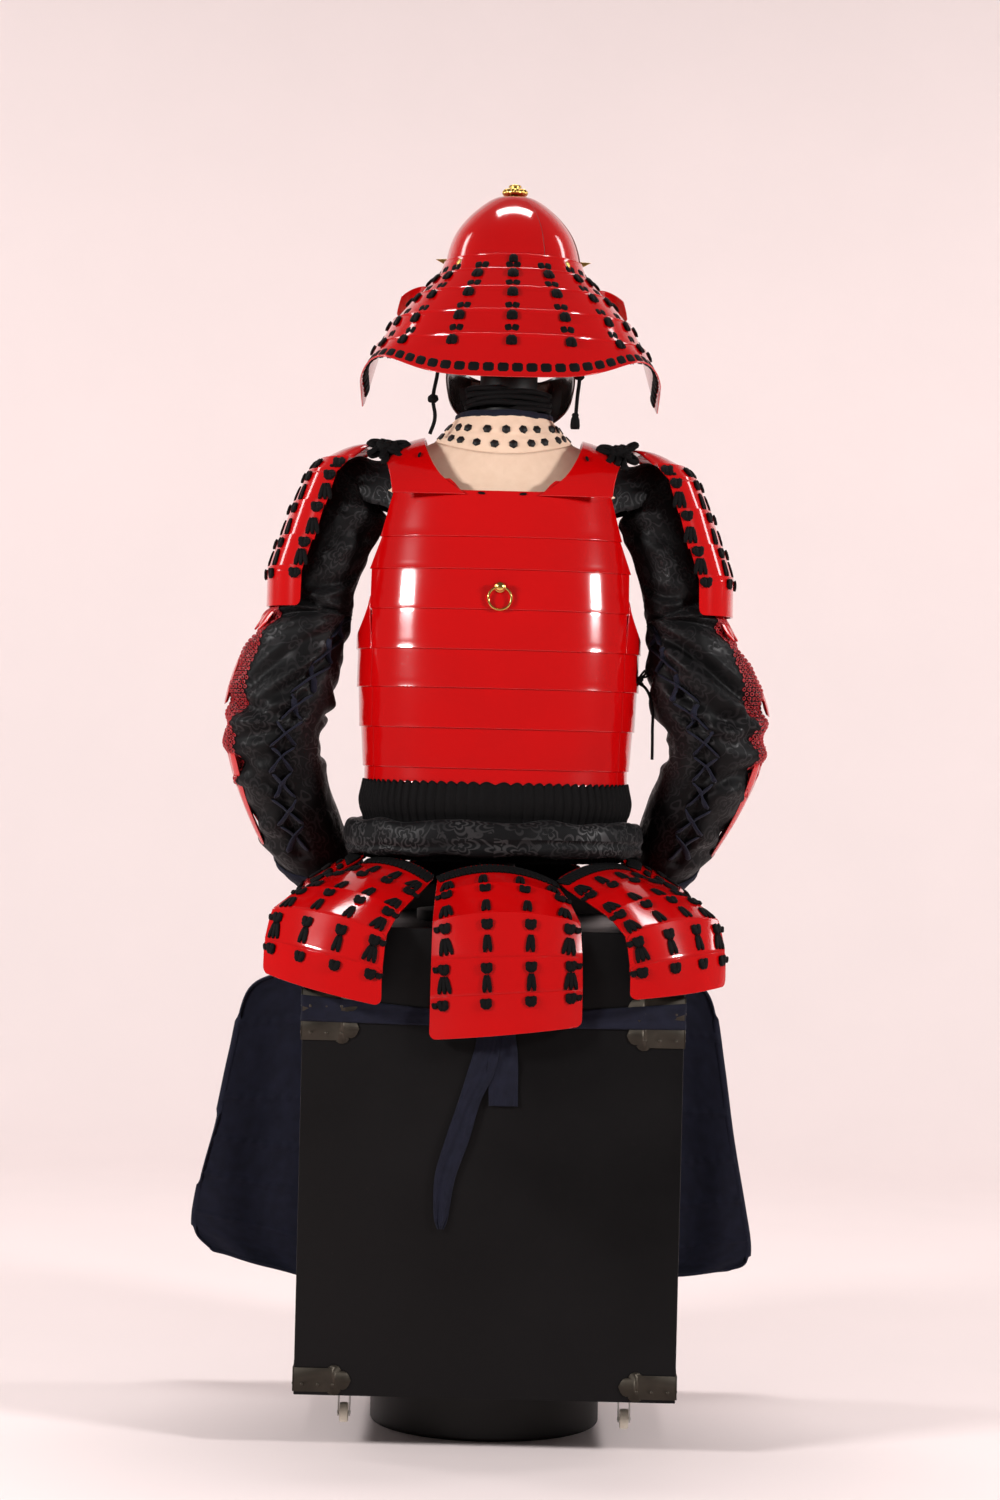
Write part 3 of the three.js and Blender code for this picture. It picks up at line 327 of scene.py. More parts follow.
def rounded(piece, width, segments=2, angle=0.6):
    edge = piece.modifiers.new("rounded_edges", "BEVEL")
    edge.width = width
    edge.segments = segments
    edge.limit_method = "ANGLE"
    edge.angle_limit = angle
    edge.harden_normals = True
    return piece


def walled(piece, thickness, inside=None, offset=-1):
    wall = piece.modifiers.new("wall", "SOLIDIFY")
    wall.thickness = thickness
    wall.offset = offset
    if inside:
        piece.data.materials.append(inside)
        wall.material_offset = 1
    return piece


plinth_low, plinth_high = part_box("plinth")
plinth_radius = plinth_high[0]
bm = new_mesh()
turned_piece(bm, [(0, 0), (plinth_radius, 0), (plinth_radius, plinth_high[2]), (0, plinth_high[2])], steps=96)
plinth = mesh_object("turned_plinth", bm, black_wood)
keep(rounded(plinth, 0.005, 4), ["plinth"])

# Storage chest: a deep box and its cap lid of thin board, lacquered near-black, with scattered lighter scuffs
# and rounded edges.
# Bronze strap plates with lobed ends wrap its corners, and a hasp closes it at the left side.
CHEST_TONES = [(0.0026, 0.0022, 0.0024, 1), (0.0042, 0.0035, 0.0038, 1), (0.016, 0.013, 0.012, 1)]
chest_lacquer = hand_finished("chest_lacquer", CHEST_TONES, (0.38, 0.52), 5.0, 0.0008,
                              specular_ior_level=0.16)


def solid_copy(node):
    """The flat-sided shape of a solid, its triangles joined to whole faces."""
    bm = new_mesh()
    bm.from_mesh(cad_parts[node].data)
    bmesh.ops.remove_doubles(bm, verts=bm.verts, dist=1e-6)
    bmesh.ops.dissolve_limit(bm, angle_limit=0.02, verts=bm.verts, edges=bm.edges)
    return bm


for node, name in (("chest_body", "chest_box"), ("chest_lid", "chest_cap_lid")):
    keep(rounded(mesh_object(name, solid_copy(node), chest_lacquer), 0.0016, 3), [node])

# Chest fittings: dark bronze straps at the corners with a lobed end, held by round-headed nails,
# and the copper-brown hasp on the left side.
BRONZE = [(0.05, 0.043, 0.034, 1), (0.075, 0.062, 0.048, 1), (0.14, 0.115, 0.08, 1)]
dark_bronze = hand_finished("dark_bronze", BRONZE, (0.38, 0.55), 30.0, 0.0005, metallic=0.85)
HASP_BROWN = [(0.16, 0.055, 0.03, 1), (0.22, 0.08, 0.04, 1), (0.3, 0.14, 0.07, 1)]
copper_brown = hand_finished("copper_brown", HASP_BROWN, (0.35, 0.5), 30.0, 0.0004, metallic=0.8)
STRAP = {"long": 0.072, "high": 0.030, "thick": 0.0014, "end": 0.014, "side": 0.052}
lid_low, lid_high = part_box("chest_lid")
box_low, box_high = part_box("chest_body")
SEAM_Z = lid_low[2]


def lobed_outline(length, height, end):
    """Half outline of a strap plate: straight, then a waist, two small lobes and a pointed tip."""
    points = [(0, height / 2), (length - 1.9 * end, height / 2)]
    lobes = [(length - 1.55 * end, 0.3 * height, 0.34 * height),
             (length - 0.8 * end, 0.1 * height, 0.3 * height)]
    for x, z, r in lobes:
        points += [(x + r * math.cos(a), z + r * math.sin(a)) for a in (2.4, 1.9, 1.4, 0.9, 0.4)]
    return points + [(length, 0)]


def round_head(bm, place, out, radius, squeeze, around=10, rings=6):
    """The round head of a nail or rivet, flattened along its outward direction."""
    head = bmesh.ops.create_uvsphere(bm, u_segments=around, v_segments=rings, radius=radius)["verts"]
    turn = Matrix.Translation(place) @ out.to_track_quat("Z", "Y").to_matrix().to_4x4()
    bmesh.ops.transform(bm, matrix=turn @ Matrix.Diagonal((1, 1, squeeze, 1)), verts=head)


def fitting(bm, corner, along, up, outward, length):
    """One flat leg of a corner plate, laid on a face of the chest from its corner."""
    half = lobed_outline(length, STRAP["high"], STRAP["end"])
    outline = half + [(x, -z) for x, z in reversed(half[:-1])]
    verts = [bm.verts.new(corner + along * x + up * z + outward * 0.0003) for x, z in outline]
    face = bm.faces.new(verts)
    face.normal_update()
    if face.normal.dot(outward) < 0:
        face.normal_flip()
    grown = bmesh.ops.extrude_face_region(bm, geom=[face])
    top = [item for item in grown["geom"] if isinstance(item, bmesh.types.BMVert)]
    bmesh.ops.translate(bm, verts=top, vec=outward * STRAP["thick"])
    for share in (0.14, 0.42, 0.68):
        centre = corner + along * length * share + outward * STRAP["thick"] - up * (0.2 * STRAP["high"])
        round_head(bm, centre, outward, 0.0024, 0.55)


def corner_plates(name, levels, low, high):
    bm = new_mesh()
    up = Vector((0, 0, 1))
    for z in levels:
        for sx in (-1, 1):
            for sy in (-1, 1):
                corner = Vector((sx * high[0], sy * high[1], z))
                fitting(bm, corner, Vector((-sx, 0, 0)), up, Vector((0, sy, 0)), STRAP["long"])
                fitting(bm, corner, Vector((0, -sy, 0)), up, Vector((sx, 0, 0)), STRAP["side"])
    bmesh.ops.recalc_face_normals(bm, faces=bm.faces)
    keep(mesh_object(name, bm, dark_bronze))


corner_plates("chest_corner_plates", [box_low[2] + 0.0185 + 0.003, SEAM_Z - 0.017], box_low, box_high)
corner_plates("lid_corner_plates", [SEAM_Z + 0.017], lid_low, lid_high)

bm = new_mesh()
hasp = {"y": 0.0, "half": 0.026, "top": SEAM_Z + 0.022, "bottom": SEAM_Z - 0.04}
for low, high, out in ((hasp["bottom"], hasp["top"], 0.003), (SEAM_Z - 0.03, SEAM_Z - 0.012, 0.009)):
    made = bmesh.ops.create_cube(bm, size=1)["verts"]
    half = hasp["half"] if out < 0.005 else 0.007
    scale = Matrix.Diagonal((out, 2 * half, high - low, 1))
    place = Matrix.Translation((box_low[0] - out / 2 - 0.0003, hasp["y"], (low + high) / 2))
    bmesh.ops.transform(bm, matrix=place @ scale, verts=made)
loop = bmesh.ops.create_circle(bm, segments=10, radius=0.0022,
                               matrix=Matrix.Translation((0.010, 0, 0)))["verts"]
loop_edges = list({edge for vert in loop for edge in vert.link_edges})
shift = Matrix.Translation((box_low[0] - 0.011, hasp["y"], SEAM_Z - 0.03))
bmesh.ops.rotate(bm, verts=loop, cent=(0, 0, 0), matrix=Matrix.Rotation(math.pi / 2, 3, "X"))
bmesh.ops.spin(bm, geom=loop + loop_edges, cent=(0, 0, 0), axis=(0, 0, 1), angle=2 * math.pi, steps=20,
               use_merge=True)
ring_verts = [vert for vert in bm.verts if vert.co.length < 0.02]
bmesh.ops.transform(bm, matrix=shift @ Matrix.Rotation(math.pi / 2, 4, "Y"), verts=ring_verts)
bmesh.ops.recalc_face_normals(bm, faces=bm.faces)
keep(rounded(mesh_object("chest_hasp", bm, copper_brown), 0.0008, 2))

# Casters: an off-white wheel between two pressed cheeks of pale plated steel, on a swivel head.
STEEL = [(0.55, 0.53, 0.5, 1), (0.45, 0.44, 0.42, 1), (0.3, 0.28, 0.25, 1)]
pale_steel = hand_finished("plated_steel", STEEL, (0.28, 0.45), 40.0, 0.0003, metallic=1.0)
OFF_WHITE = [(0.72, 0.68, 0.57, 1), (0.63, 0.58, 0.47, 1), (0.35, 0.31, 0.25, 1)]
wheel_plastic = hand_finished("off_white_plastic", OFF_WHITE, (0.4, 0.55), 60.0, 0.0003)
CASTERS = ["rear_left", "rear_right", "front_left", "front_right"]
for number, place in enumerate(CASTERS, 1):
    fork = mesh_object(f"caster_cheeks_{place}", solid_copy(f"caster_fork_{number}"), pale_steel)
    keep(rounded(fork, 0.0005, 2), [f"caster_fork_{number}"], f"caster_{place}")
    low, high = (Vector(corner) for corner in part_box(f"caster_wheel_{number}"))
    centre = (low + high) / 2
    half, r = (high.x - low.x) / 2, (high.z - low.z) / 2
    bm = new_mesh()
    profile = [(0.0028, -half), (r * 0.45, -half), (r * 0.5, -half * 0.75), (r * 0.78, -half * 0.75),
               (r * 0.84, -half), (r * 0.95, -half * 0.9), (r, -half * 0.45)]
    profile += [(x, -z) for x, z in reversed(profile)] + [(0.0028, -half)]
    turned_piece(bm, profile, steps=40)
    bmesh.ops.rotate(bm, verts=bm.verts, cent=(0, 0, 0), matrix=Matrix.Rotation(math.pi / 2, 3, "Y"))
    bmesh.ops.translate(bm, verts=bm.verts, vec=centre)
    wheel = rounded(mesh_object(f"wheel_{place}", bm, wheel_plastic), 0.0004, 2)
    keep(wheel, [f"caster_wheel_{number}"], f"wheel_{place}")

# Stand: a turned post on a round foot, a sloped shoulder bar, and the padded rest inside the helmet.
keep(rounded(mesh_object("stand_post_and_bar", solid_copy("stand_post"), black_wood), 0.003, 3),
     ["stand_post"])
rest_low, rest_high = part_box("head_rest")
HELMET_X = (rest_low[0] + rest_high[0]) / 2
REST_PROFILE = [(0, rest_low[2]), (0.030, rest_low[2]), (0.050, 1.486), (0.062, 1.520), (0.0615, 1.538),
                (0.056, 1.566), (0.044, 1.592), (0.0276, rest_high[2]), (0, rest_high[2])]
bm = new_mesh()
turned_piece(bm, REST_PROFILE, (HELMET_X, 0), 48)
keep(rounded(mesh_object("padded_head_rest", bm, black_wood), 0.002, 3), ["head_rest"])

# Cuirass: back, front and side plates of iron lames under bright red lacquer. Each lame slips under the
# one above, its lower edge turned out a little; hinges join the plates at the sides.
SIDES = (("left", -1), ("right", 1))
BODY_X = -0.005
CUIRASS = [
    {"z": 1.222, "half": 0.168, "back": 0.112, "front": 0.096, "edge": 0.142},
    {"z": 1.162, "half": 0.180, "back": 0.120, "front": 0.108, "edge": 0.158},
    {"z": 1.120, "half": 0.185, "back": 0.124, "front": 0.114, "edge": 0.171},
    {"z": 1.068, "half": 0.188, "back": 0.127, "front": 0.120, "edge": 0.169},
    {"z": 1.016, "half": 0.1885, "back": 0.128, "front": 0.122, "edge": 0.166},
    {"z": 0.966, "half": 0.1865, "back": 0.128, "front": 0.122, "edge": 0.165},
    {"z": 0.914, "half": 0.182, "back": 0.126, "front": 0.120, "edge": 0.163},
    {"z": 0.862, "half": 0.176, "back": 0.121, "front": 0.116, "edge": 0.160},
    {"z": 0.842, "half": 0.1735, "back": 0.120, "front": 0.115, "edge": 0.159},
]
BODY_SQUARE = 2.4
PLATE = 0.0022
RED = [(0.54, 0.0014, 0.0020, 1), (0.49, 0.0012, 0.0018, 1), (0.42, 0.0030, 0.0036, 1)]
red_lacquer = hand_finished("red_lacquer", RED, (0.09, 0.16), 7.0, 0.0005, coat_weight=0.35,
                            coat_roughness=0.05)


def mix(a, b, t):
    return a + (b - a) * t


def column(table, key, z):
    k = 0
    while k < len(table) - 2 and z < table[k + 1]["z"]:
        k += 1
    t = (table[k]["z"] - z) / (table[k]["z"] - table[k + 1]["z"])
    return mix(table[k][key], table[k + 1][key], min(max(t, 0), 1))


def oval(angle, half, depth, z, square=2.4, centre=0.0):
    """A squared oval seen from above: angle 0 is the middle of the back, positive towards +X."""
    s, c = math.sin(angle), math.cos(angle)
    return Vector((centre + half * math.copysign(abs(s) ** (2 / square), s),
                   -depth * math.copysign(abs(c) ** (2 / square), c), z))


def hinge(z):
    return math.asin((column(CUIRASS, "edge", z) / column(CUIRASS, "half", z)) ** (BODY_SQUARE / 2))


def cuirass_place(angle, z, off):
    depth = column(CUIRASS, "back" if math.cos(angle) > 0 else "front", z)
    return oval(angle, column(CUIRASS, "half", z) + off, depth + off, z, BODY_SQUARE, BODY_X)


LAP = 0.004
TUCK = 0.0024
FLARE = 0.0005


def face_out(bm, verts, middle):
    """Turns the faces of one sheet so that they look away from a point inside the piece."""
    faces = list({face for vert in verts for face in vert.link_faces})
    outward = 0.0
    for face in faces:
        face.normal_update()
        spot = face.calc_center_median()
        outward += (spot - middle(spot)).dot(face.normal)
    if outward < 0:
        bmesh.ops.reverse_faces(bm, faces=faces)


def lacquered(name, bm, thickness, edge, steps, nodes=(), inside=None):
    """A piece of red-lacquered iron: its sheets get their thickness and their edges are rounded."""
    plate = walled(mesh_object(name, bm, red_lacquer), thickness, inside)
    return keep(rounded(plate, edge, steps), nodes)


def lames(bm, borders, start, end, columns, first_lap=0.0, top_edge=None):
    """Lames between the given heights, from the start angle to the end angle of each height; top_edge
    gives how far the top one's upper edge rises or dips."""
    for k, (top, bottom) in enumerate(zip(borders, borders[1:])):
        lap = first_lap if k == 0 else LAP

        def place(u, v):
            rise = top_edge(u) if top_edge and k == 0 else 0.0
            z = mix(top + rise + lap, bottom, v)
            off = -TUCK * max(1 - v * 1.15, 0) if k or first_lap else 0.0
            lip = FLARE * max((v - 0.9) / 0.1, 0) ** 2
            return cuirass_place(mix(start(z), end(z), u), z, off + lip)

        verts = sheet_of_points(bm, columns, 12, place)
        face_out(bm, verts, lambda p: Vector((BODY_X, 0, p.z)))


def under_strap(u):
    """The back's top lame runs on a little way under each shoulder strap."""
    off = abs(2 * u - 1)
    return 0.015 * min(max((off - 0.27) / 0.08, 0), 1) * min(max((0.97 - off) / 0.05, 0), 1)


BACK_BORDERS = [1.222, 1.162, 1.120, 1.068, 1.016, 0.966, 0.914, 0.862, 0.842]
bm = new_mesh()
lames(bm, BACK_BORDERS, lambda z: -hinge(z), hinge, 44, 0.0, under_strap)
lacquered("cuirass_back_lames", bm, PLATE, 0.0009, 3, ["cuirass_back"])
bm = new_mesh()
lames(bm, [1.186] + BACK_BORDERS[1:], lambda z: math.pi - hinge(z), lambda z: math.pi + hinge(z), 44)
lacquered("cuirass_front_lames", bm, PLATE, 0.0009, 3, ["cuirass_front"])
HINGE_GAP = 0.004
ARMHOLE_Z = 1.085
ARMHOLE_CUT = 0.052


def armhole(u):
    return -ARMHOLE_CUT * math.sin(math.pi * u) ** 0.7


for name, side in SIDES:
    bm = new_mesh()
    lames(bm, [ARMHOLE_Z] + BACK_BORDERS[4:], lambda z: side * (hinge(z) + HINGE_GAP),
          lambda z: side * (math.pi - hinge(z) - HINGE_GAP), 24, 0.0, armhole)
    lacquered(f"cuirass_side_lames_{name}", bm, PLATE, 0.0009, 3, [f"cuirass_side_{name}"])

# Shoulder straps: bent iron under the same lacquer, from the back's neck edge over to the front plate.
STRAPS = [
    {"y": -0.1142, "inner": (0.047, 1.2170), "outer": (0.1425, 1.2170)},
    {"y": -0.106, "inner": (0.078, 1.240), "outer": (0.145, 1.234)},
    {"y": -0.092, "inner": (0.093, 1.262), "outer": (0.149, 1.250)},
    {"y": -0.066, "inner": (0.102, 1.284), "outer": (0.154, 1.264)},
    {"y": -0.020, "inner": (0.104, 1.297), "outer": (0.156, 1.274)},
    {"y": 0.030, "inner": (0.102, 1.294), "outer": (0.154, 1.270)},
    {"y": 0.070, "inner": (0.098, 1.262), "outer": (0.148, 1.242)},
    {"y": 0.092, "inner": (0.092, 1.222), "outer": (0.142, 1.208)},
    {"y": 0.097, "inner": (0.088, 1.1864), "outer": (0.138, 1.1864)},
]


def along(values, t):
    """A smooth curve through a list of values or vectors, at t from 0 to 1."""
    spans = len(values) - 1
    k = min(int(t * spans), spans - 1)
    f = t * spans - k
    a, b = values[k], values[k + 1]
    before = values[k - 1] if k else a + (a - b)
    after = values[k + 2] if k + 2 <= spans else b + (b - a)
    return 0.5 * ((2 * a) + (b - before) * f + (2 * before - 5 * a + 4 * b - after) * f * f
                  + (3 * a - before - 3 * b + after) * f ** 3)


def row_at(rows, v):
    """The smooth value of each column of a table, at v from its first to its last row."""
    return [along([float(value) for value in column_of], v) for column_of in zip(*rows)]


def strap_place(side, u, v):
    """A point of a strap, from its inner to its outer edge and from the back over to the front."""
    inner, outer = ([Vector((BODY_X + side * row[edge][0], row["y"], row[edge][1])) for row in STRAPS]
                    for edge in ("inner", "outer"))
    return along(inner, v).lerp(along(outer, v), u)


def crowned_strap(side, u, v):
    crown = 0.003 * math.sin(math.pi * u) * min(1, 4 * v, 4 * (1 - v))
    return strap_place(side, u, v) + Vector((0, 0, crown))


for name, side in SIDES:
    bm = new_mesh()
    verts = sheet_of_points(bm, 8, 36, lambda u, v: crowned_strap(side, u, v))
    face_out(bm, verts, lambda p: Vector((BODY_X + side * 0.125, 0, 1.15)))
    lacquered(f"strap_{name}", bm, 0.0028, 0.001, 3, [f"shoulder_strap_{name}"])

# Ring for a back banner's cord: a gilt ring through a round-headed stud on the back plate.
GILT = [(0.72, 0.46, 0.13, 1), (0.62, 0.38, 0.1, 1), (0.4, 0.23, 0.07, 1)]
gilt = hand_finished("gilt_brass", GILT, (0.18, 0.3), 25.0, 0.0002, metallic=1.0)
stud_low, stud_high = (Vector(corner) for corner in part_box("ring_stud"))
STUD_Z = (stud_low.z + stud_high.z) / 2
ring_low, ring_high = (Vector(corner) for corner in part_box("back_ring"))
ring_centre = (ring_low + ring_high) / 2
wire = (ring_high.y - ring_low.y) / 2
bm = new_mesh()
loop = bmesh.ops.create_circle(bm, segments=16, radius=wire)["verts"]
bmesh.ops.translate(bm, verts=loop, vec=(ring_high.x - ring_centre.x - wire, 0, 0))
edges = list({edge for vert in loop for edge in vert.link_edges})
bmesh.ops.spin(bm, geom=loop + edges, cent=(0, 0, 0), axis=(0, 1, 0), angle=2 * math.pi, steps=64,
               use_merge=True)
bmesh.ops.recalc_face_normals(bm, faces=bm.faces)
bmesh.ops.translate(bm, verts=bm.verts, vec=ring_centre)
keep(mesh_object("gilt_ring", bm, gilt), ["back_ring"], "ring")
keep(rounded(mesh_object("gilt_ring_stud", solid_copy("ring_stud"), gilt), 0.0005, 3), ["ring_stud"])

# Black silk knots: where the lacing passes through the lames it is tied in small square knots,
# with pairs of flat cords between them. All knots of one lame or tasset are one piece.
KNOT = {"wide": 0.0148, "high": 0.0132, "deep": 0.0040}
SMALL_KNOT = {"size": 0.58, "beside": 0.0112}
LONGEST_PAIR = 0.022


def pattern_mesh(name, bm):
    """A small shape kept as a mesh, to be set many times into larger pieces."""
    mesh = bpy.data.meshes.new(name)
    bm.to_mesh(mesh)
    bm.free()
    return mesh


def set_in(bm, pattern, matrix):
    copy = pattern.copy()
    copy.transform(matrix)
    bm.from_mesh(copy)
    bpy.data.meshes.remove(copy)


block = new_mesh()
bmesh.ops.create_cube(block, size=1)
bmesh.ops.bevel(block, geom=block.verts[:] + block.edges[:], offset=0.24, segments=1, profile=0.5,
                affect="EDGES", material=-1)
CORD_BLOCK = pattern_mesh("cord_block", block)


def pad(bm, place, across, down, out, wide, high, deep, slant=0.0):
    """A rounded block of cord on a surface: across, down and out are its three directions."""
    if across.cross(down).dot(out) < 0:
        across = -across
    turn = Matrix((across, down, out)).transposed().to_4x4()
    spin = Matrix.Rotation(slant, 4, "Z")
    scale = Matrix.Diagonal((wide, high, deep, 1))
    set_in(bm, CORD_BLOCK, Matrix.Translation(place) @ turn @ spin @ scale)


def directions(place, u, v, towards=None, step=0.004):
    """Across, down and outward directions of a sheet laid out by place(u, v), on the side looked towards."""
    here = place(u, v)
    across = (place(min(u + step, 1), v) - place(max(u - step, 0), v)).normalized()
    down = (place(u, min(v + step, 1)) - place(u, max(v - step, 0))).normalized()
    out = across.cross(down).normalized()
    if towards is not None and out.dot(towards) < 0:
        across, out = -across, -out
    return here, across, out.cross(across).normalized(), out


def cross_knot(bm, here, across, down, out, size=1.0, tilt=0.0):
    """A square cross knot: a plump block of cord with two slanted turns over it."""
    wide, high, deep = KNOT["wide"] * size, KNOT["high"] * size, KNOT["deep"]
    lift = deep * 0.3 * size
    pad(bm, here + out * lift, across, down, out, wide * 0.96, high * 0.96, deep, tilt)
    for side in (-1, 1):
        spot = here + across * (side * wide * 0.2) + out * (lift * 2)
        pad(bm, spot, across, down, out, wide * 0.5, high * 1.04, deep * 0.8, tilt + side * 0.32)


def flat_pair(bm, here, across, down, out, length, strands=2, spread=0.0058):
    """Flat cords side by side that run down from a knot and turn in behind the next lame."""
    for k in range(strands):
        side = k - (strands - 1) / 2
        middle = here + across * (side * spread * 0.92) + down * (length * 0.5) + out * 0.0012
        pad(bm, middle, across, down, out, spread * 1.02, length, 0.0034, -side * 0.22)


# Small stitches of the same cord show on the straps and just under the neckline.
stitches = new_mesh()
for side in (-1, 1):
    here, across, down, out = directions(lambda u, v: strap_place(side, u, v), 0.22, 0.29, Vector((0, 0, 1)))
    pad(stitches, here + out * 0.0030, across, down, out, 0.0036, 0.0085, 0.0024, 0.5 * side)
    here, across, down, out = directions(lambda u, v: cuirass_place(u - 0.5, mix(1.222, 1.16, v), 0),
                                         0.5 + side * 0.111, 0.06, Vector((0, -1, 0)))
    pad(stitches, here + out * 0.0008, across, down, out, 0.0090, 0.0034, 0.0024, 0.1 * side)
keep(mesh_object("plate_stitches", stitches, silk_cord))

# Helmet bowl: six hammered plates under red lacquer, three of them lapped over their neighbours, with a thin
# strip of painted shadow beside each lapped edge, and a gilt rosette and knob over the hole in its crown.
BOWL = [(1.6185, 0.010, 0.012), (1.6150, 0.029, 0.035), (1.5960, 0.054, 0.066), (1.5750, 0.072, 0.088),
        (1.5550, 0.082, 0.101), (1.5300, 0.088, 0.109), (1.4960, 0.091, 0.113)]
# Where each plate starts and ends in degrees, and whether it lies over its neighbours
BOWL_PLATES = [(-84, 26, True), (20, 92, False), (86, 140, True),
               (134, 186, False), (180, 230, True), (224, 282, False)]
PLATE_LAP = 0.0014


def bowl_place(angle, v, off):
    z, half, depth = row_at(BOWL, v)
    return oval(angle, half + off, depth + off, z, 2.05, HELMET_X)


bm = new_mesh()
seam_shadow_sheets = new_mesh()
for start, end, raised in BOWL_PLATES:
    verts = sheet_of_points(bm, 34, 30, lambda u, v: bowl_place(math.radians(mix(start, end, u)), v,
                                                                PLATE_LAP if raised else 0.0))
    face_out(bm, verts, lambda p: Vector((HELMET_X, 0, 1.45)))
    # Painted shadow: beside each edge of a lapped plate, a thin dark strip on the plate beneath stands for
    # the shade under the step
    for edge, way in ((start, -1), (end, 1)) if raised else ():
        lip = math.radians(edge) + way * 0.004
        verts = sheet_of_points(seam_shadow_sheets, 2, 30, lambda u, v: bowl_place(lip + way * u * 0.010, v * 0.96 + 0.04,
                                                                      PLATE_LAP * (0.75 - 0.5 * u)))
        face_out(seam_shadow_sheets, verts, lambda p: Vector((HELMET_X, 0, 1.45)))
lacquered("bowl_plates", bm, 0.0018, 0.0006, 2, ["helmet_bowl"])
# The strips' dark red is painted shadow, not a lacquer of its own
SEAM_SHADOW_TONES = [(0.03, 0.002, 0.002, 1), (0.02, 0.002, 0.002, 1), (0.05, 0.003, 0.003, 1)]
seam_shadow_paint = hand_finished("painted_seam_shadow", SEAM_SHADOW_TONES, (0.4, 0.5), 40.0, 0.0002)
keep(walled(mesh_object("bowl_seam_shadows", seam_shadow_sheets, seam_shadow_paint), 0.0004))

finial_low, finial_high = (Vector(corner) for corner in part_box("helmet_finial"))
CROWN_Z = 1.6196
bm = new_mesh()
turned_piece(bm, [(0, finial_low.z), (0.0052, finial_low.z), (0.0052, CROWN_Z), (0.0100, CROWN_Z + 0.0001),
                  (0.0146, CROWN_Z + 0.0030), (0.0156, CROWN_Z + 0.0062), (0.0138, CROWN_Z + 0.0094),
                  (0.0085, CROWN_Z + 0.0108), (0.0058, CROWN_Z + 0.0120), (0.0088, CROWN_Z + 0.0138),
                  (0.0080, CROWN_Z + 0.0158), (0, finial_high.z)], (HELMET_X, 0), 32)
for k in range(14):
    angle = k * math.pi / 7
    out = Vector((math.cos(angle), math.sin(angle), 0))
    petal = bmesh.ops.create_uvsphere(bm, u_segments=12, v_segments=8, radius=1)["verts"]
    frame_of = Matrix((out, Vector((0, 0, 1)).cross(out), Vector((0, 0, 1)))).transposed().to_4x4()
    spot = Vector((HELMET_X, 0, CROWN_Z + 0.0062)) + out * 0.0126
    petal_size = Matrix.Diagonal((0.0046, 0.0031, 0.0046, 1))
    bmesh.ops.transform(bm, matrix=Matrix.Translation(spot) @ frame_of @ petal_size, verts=petal)
keep(mesh_object("crown_rosette", bm, gilt), ["helmet_finial"])

# Visor and crest: a red peak over the brow, and in front of it a plain pair of gilt horns.
VISOR_HALF = math.radians(62)
bm = new_mesh()


def visor_place(u, v):
    z = mix(1.519, 1.496, v)
    fade = 0.35 + 0.65 * math.cos((u - 0.5) * math.pi)
    out = 0.0012 + 0.0288 * v ** 1.1 * fade
    return oval(math.pi + (2 * u - 1) * VISOR_HALF, 0.0895 + out, 0.1105 + out, z, 2.05, HELMET_X)


verts = sheet_of_points(bm, 48, 8, visor_place)
face_out(bm, verts, lambda p: Vector((HELMET_X, 0, 1.40)))
lacquered("visor_peak", bm, 0.0018, 0.0007, 2, ["helmet_visor"])
bm = solid_copy("helmet_crest")
keep(rounded(mesh_object("crest_horns", bm, gilt), 0.0005, 2), ["helmet_crest"])

# Neck guard: a base plate riveted to the bowl and four lames, each outside the one above, laced with
# black silk. The lowest ends in a row of knots all along its hem; inside it is lacquered too.
NECK_GUARD = [(1.529, 0.0915, 0.112, 0.010), (1.509, 0.099, 0.119, 0.024), (1.483, 0.122, 0.137, 0.044),
              (1.451, 0.148, 0.153, 0.058), (1.418, 0.166, 0.164, 0.066), (1.361, 0.187, 0.180, 0.070)]
STACK = 0.0029
LAME_LAP = 0.007
LAST = 4


def swelling(x, middle, width):
    """One at its middle, falling smoothly to nothing on both sides."""
    return math.exp(-((x - middle) / width) ** 2)


def hem_lift(u):
    """The hem droops behind, lifts over the shoulders and falls again at the front corners."""
    t = abs(u)
    return 0.032 * swelling(t, 0.52, 0.22) - 0.016 * max(t - 0.8, 0) / 0.2


def guard_place(k, u, v, off=0.0):
    """A point of the base plate (k = 0) or of lame k, at u from -1 to 1 and v from its top to its hem."""
    upper, lower = NECK_GUARD[k], NECK_GUARD[k + 1]
    rise = 0.0
    if k < LAST:
        below = NECK_GUARD[k + 2]
        share = (LAME_LAP if k else 0.0) / (lower[0] - below[0])
        split = 1 / (1 + share)
        row = ([mix(a, b, v / split) for a, b in zip(upper, lower)] if v <= split
               else [mix(a, b, (v - split) / (1 - split) * share) for a, b in zip(lower, below)])
    else:
        row = [mix(a, b, v) for a, b in zip(upper, lower)]
        rise = hem_lift(u) * v
    z, half, back, front = row
    turn = min(max(u / 0.8, -1), 1) * math.pi / 2
    ahead = max(abs(u) - 0.8, 0) / 0.2
    grown = STACK * k + off
    spot = oval(turn, half + grown, back + grown, z + rise, 2.2)
    return Vector((HELMET_X + spot.x, spot.y + front * ahead, spot.z))


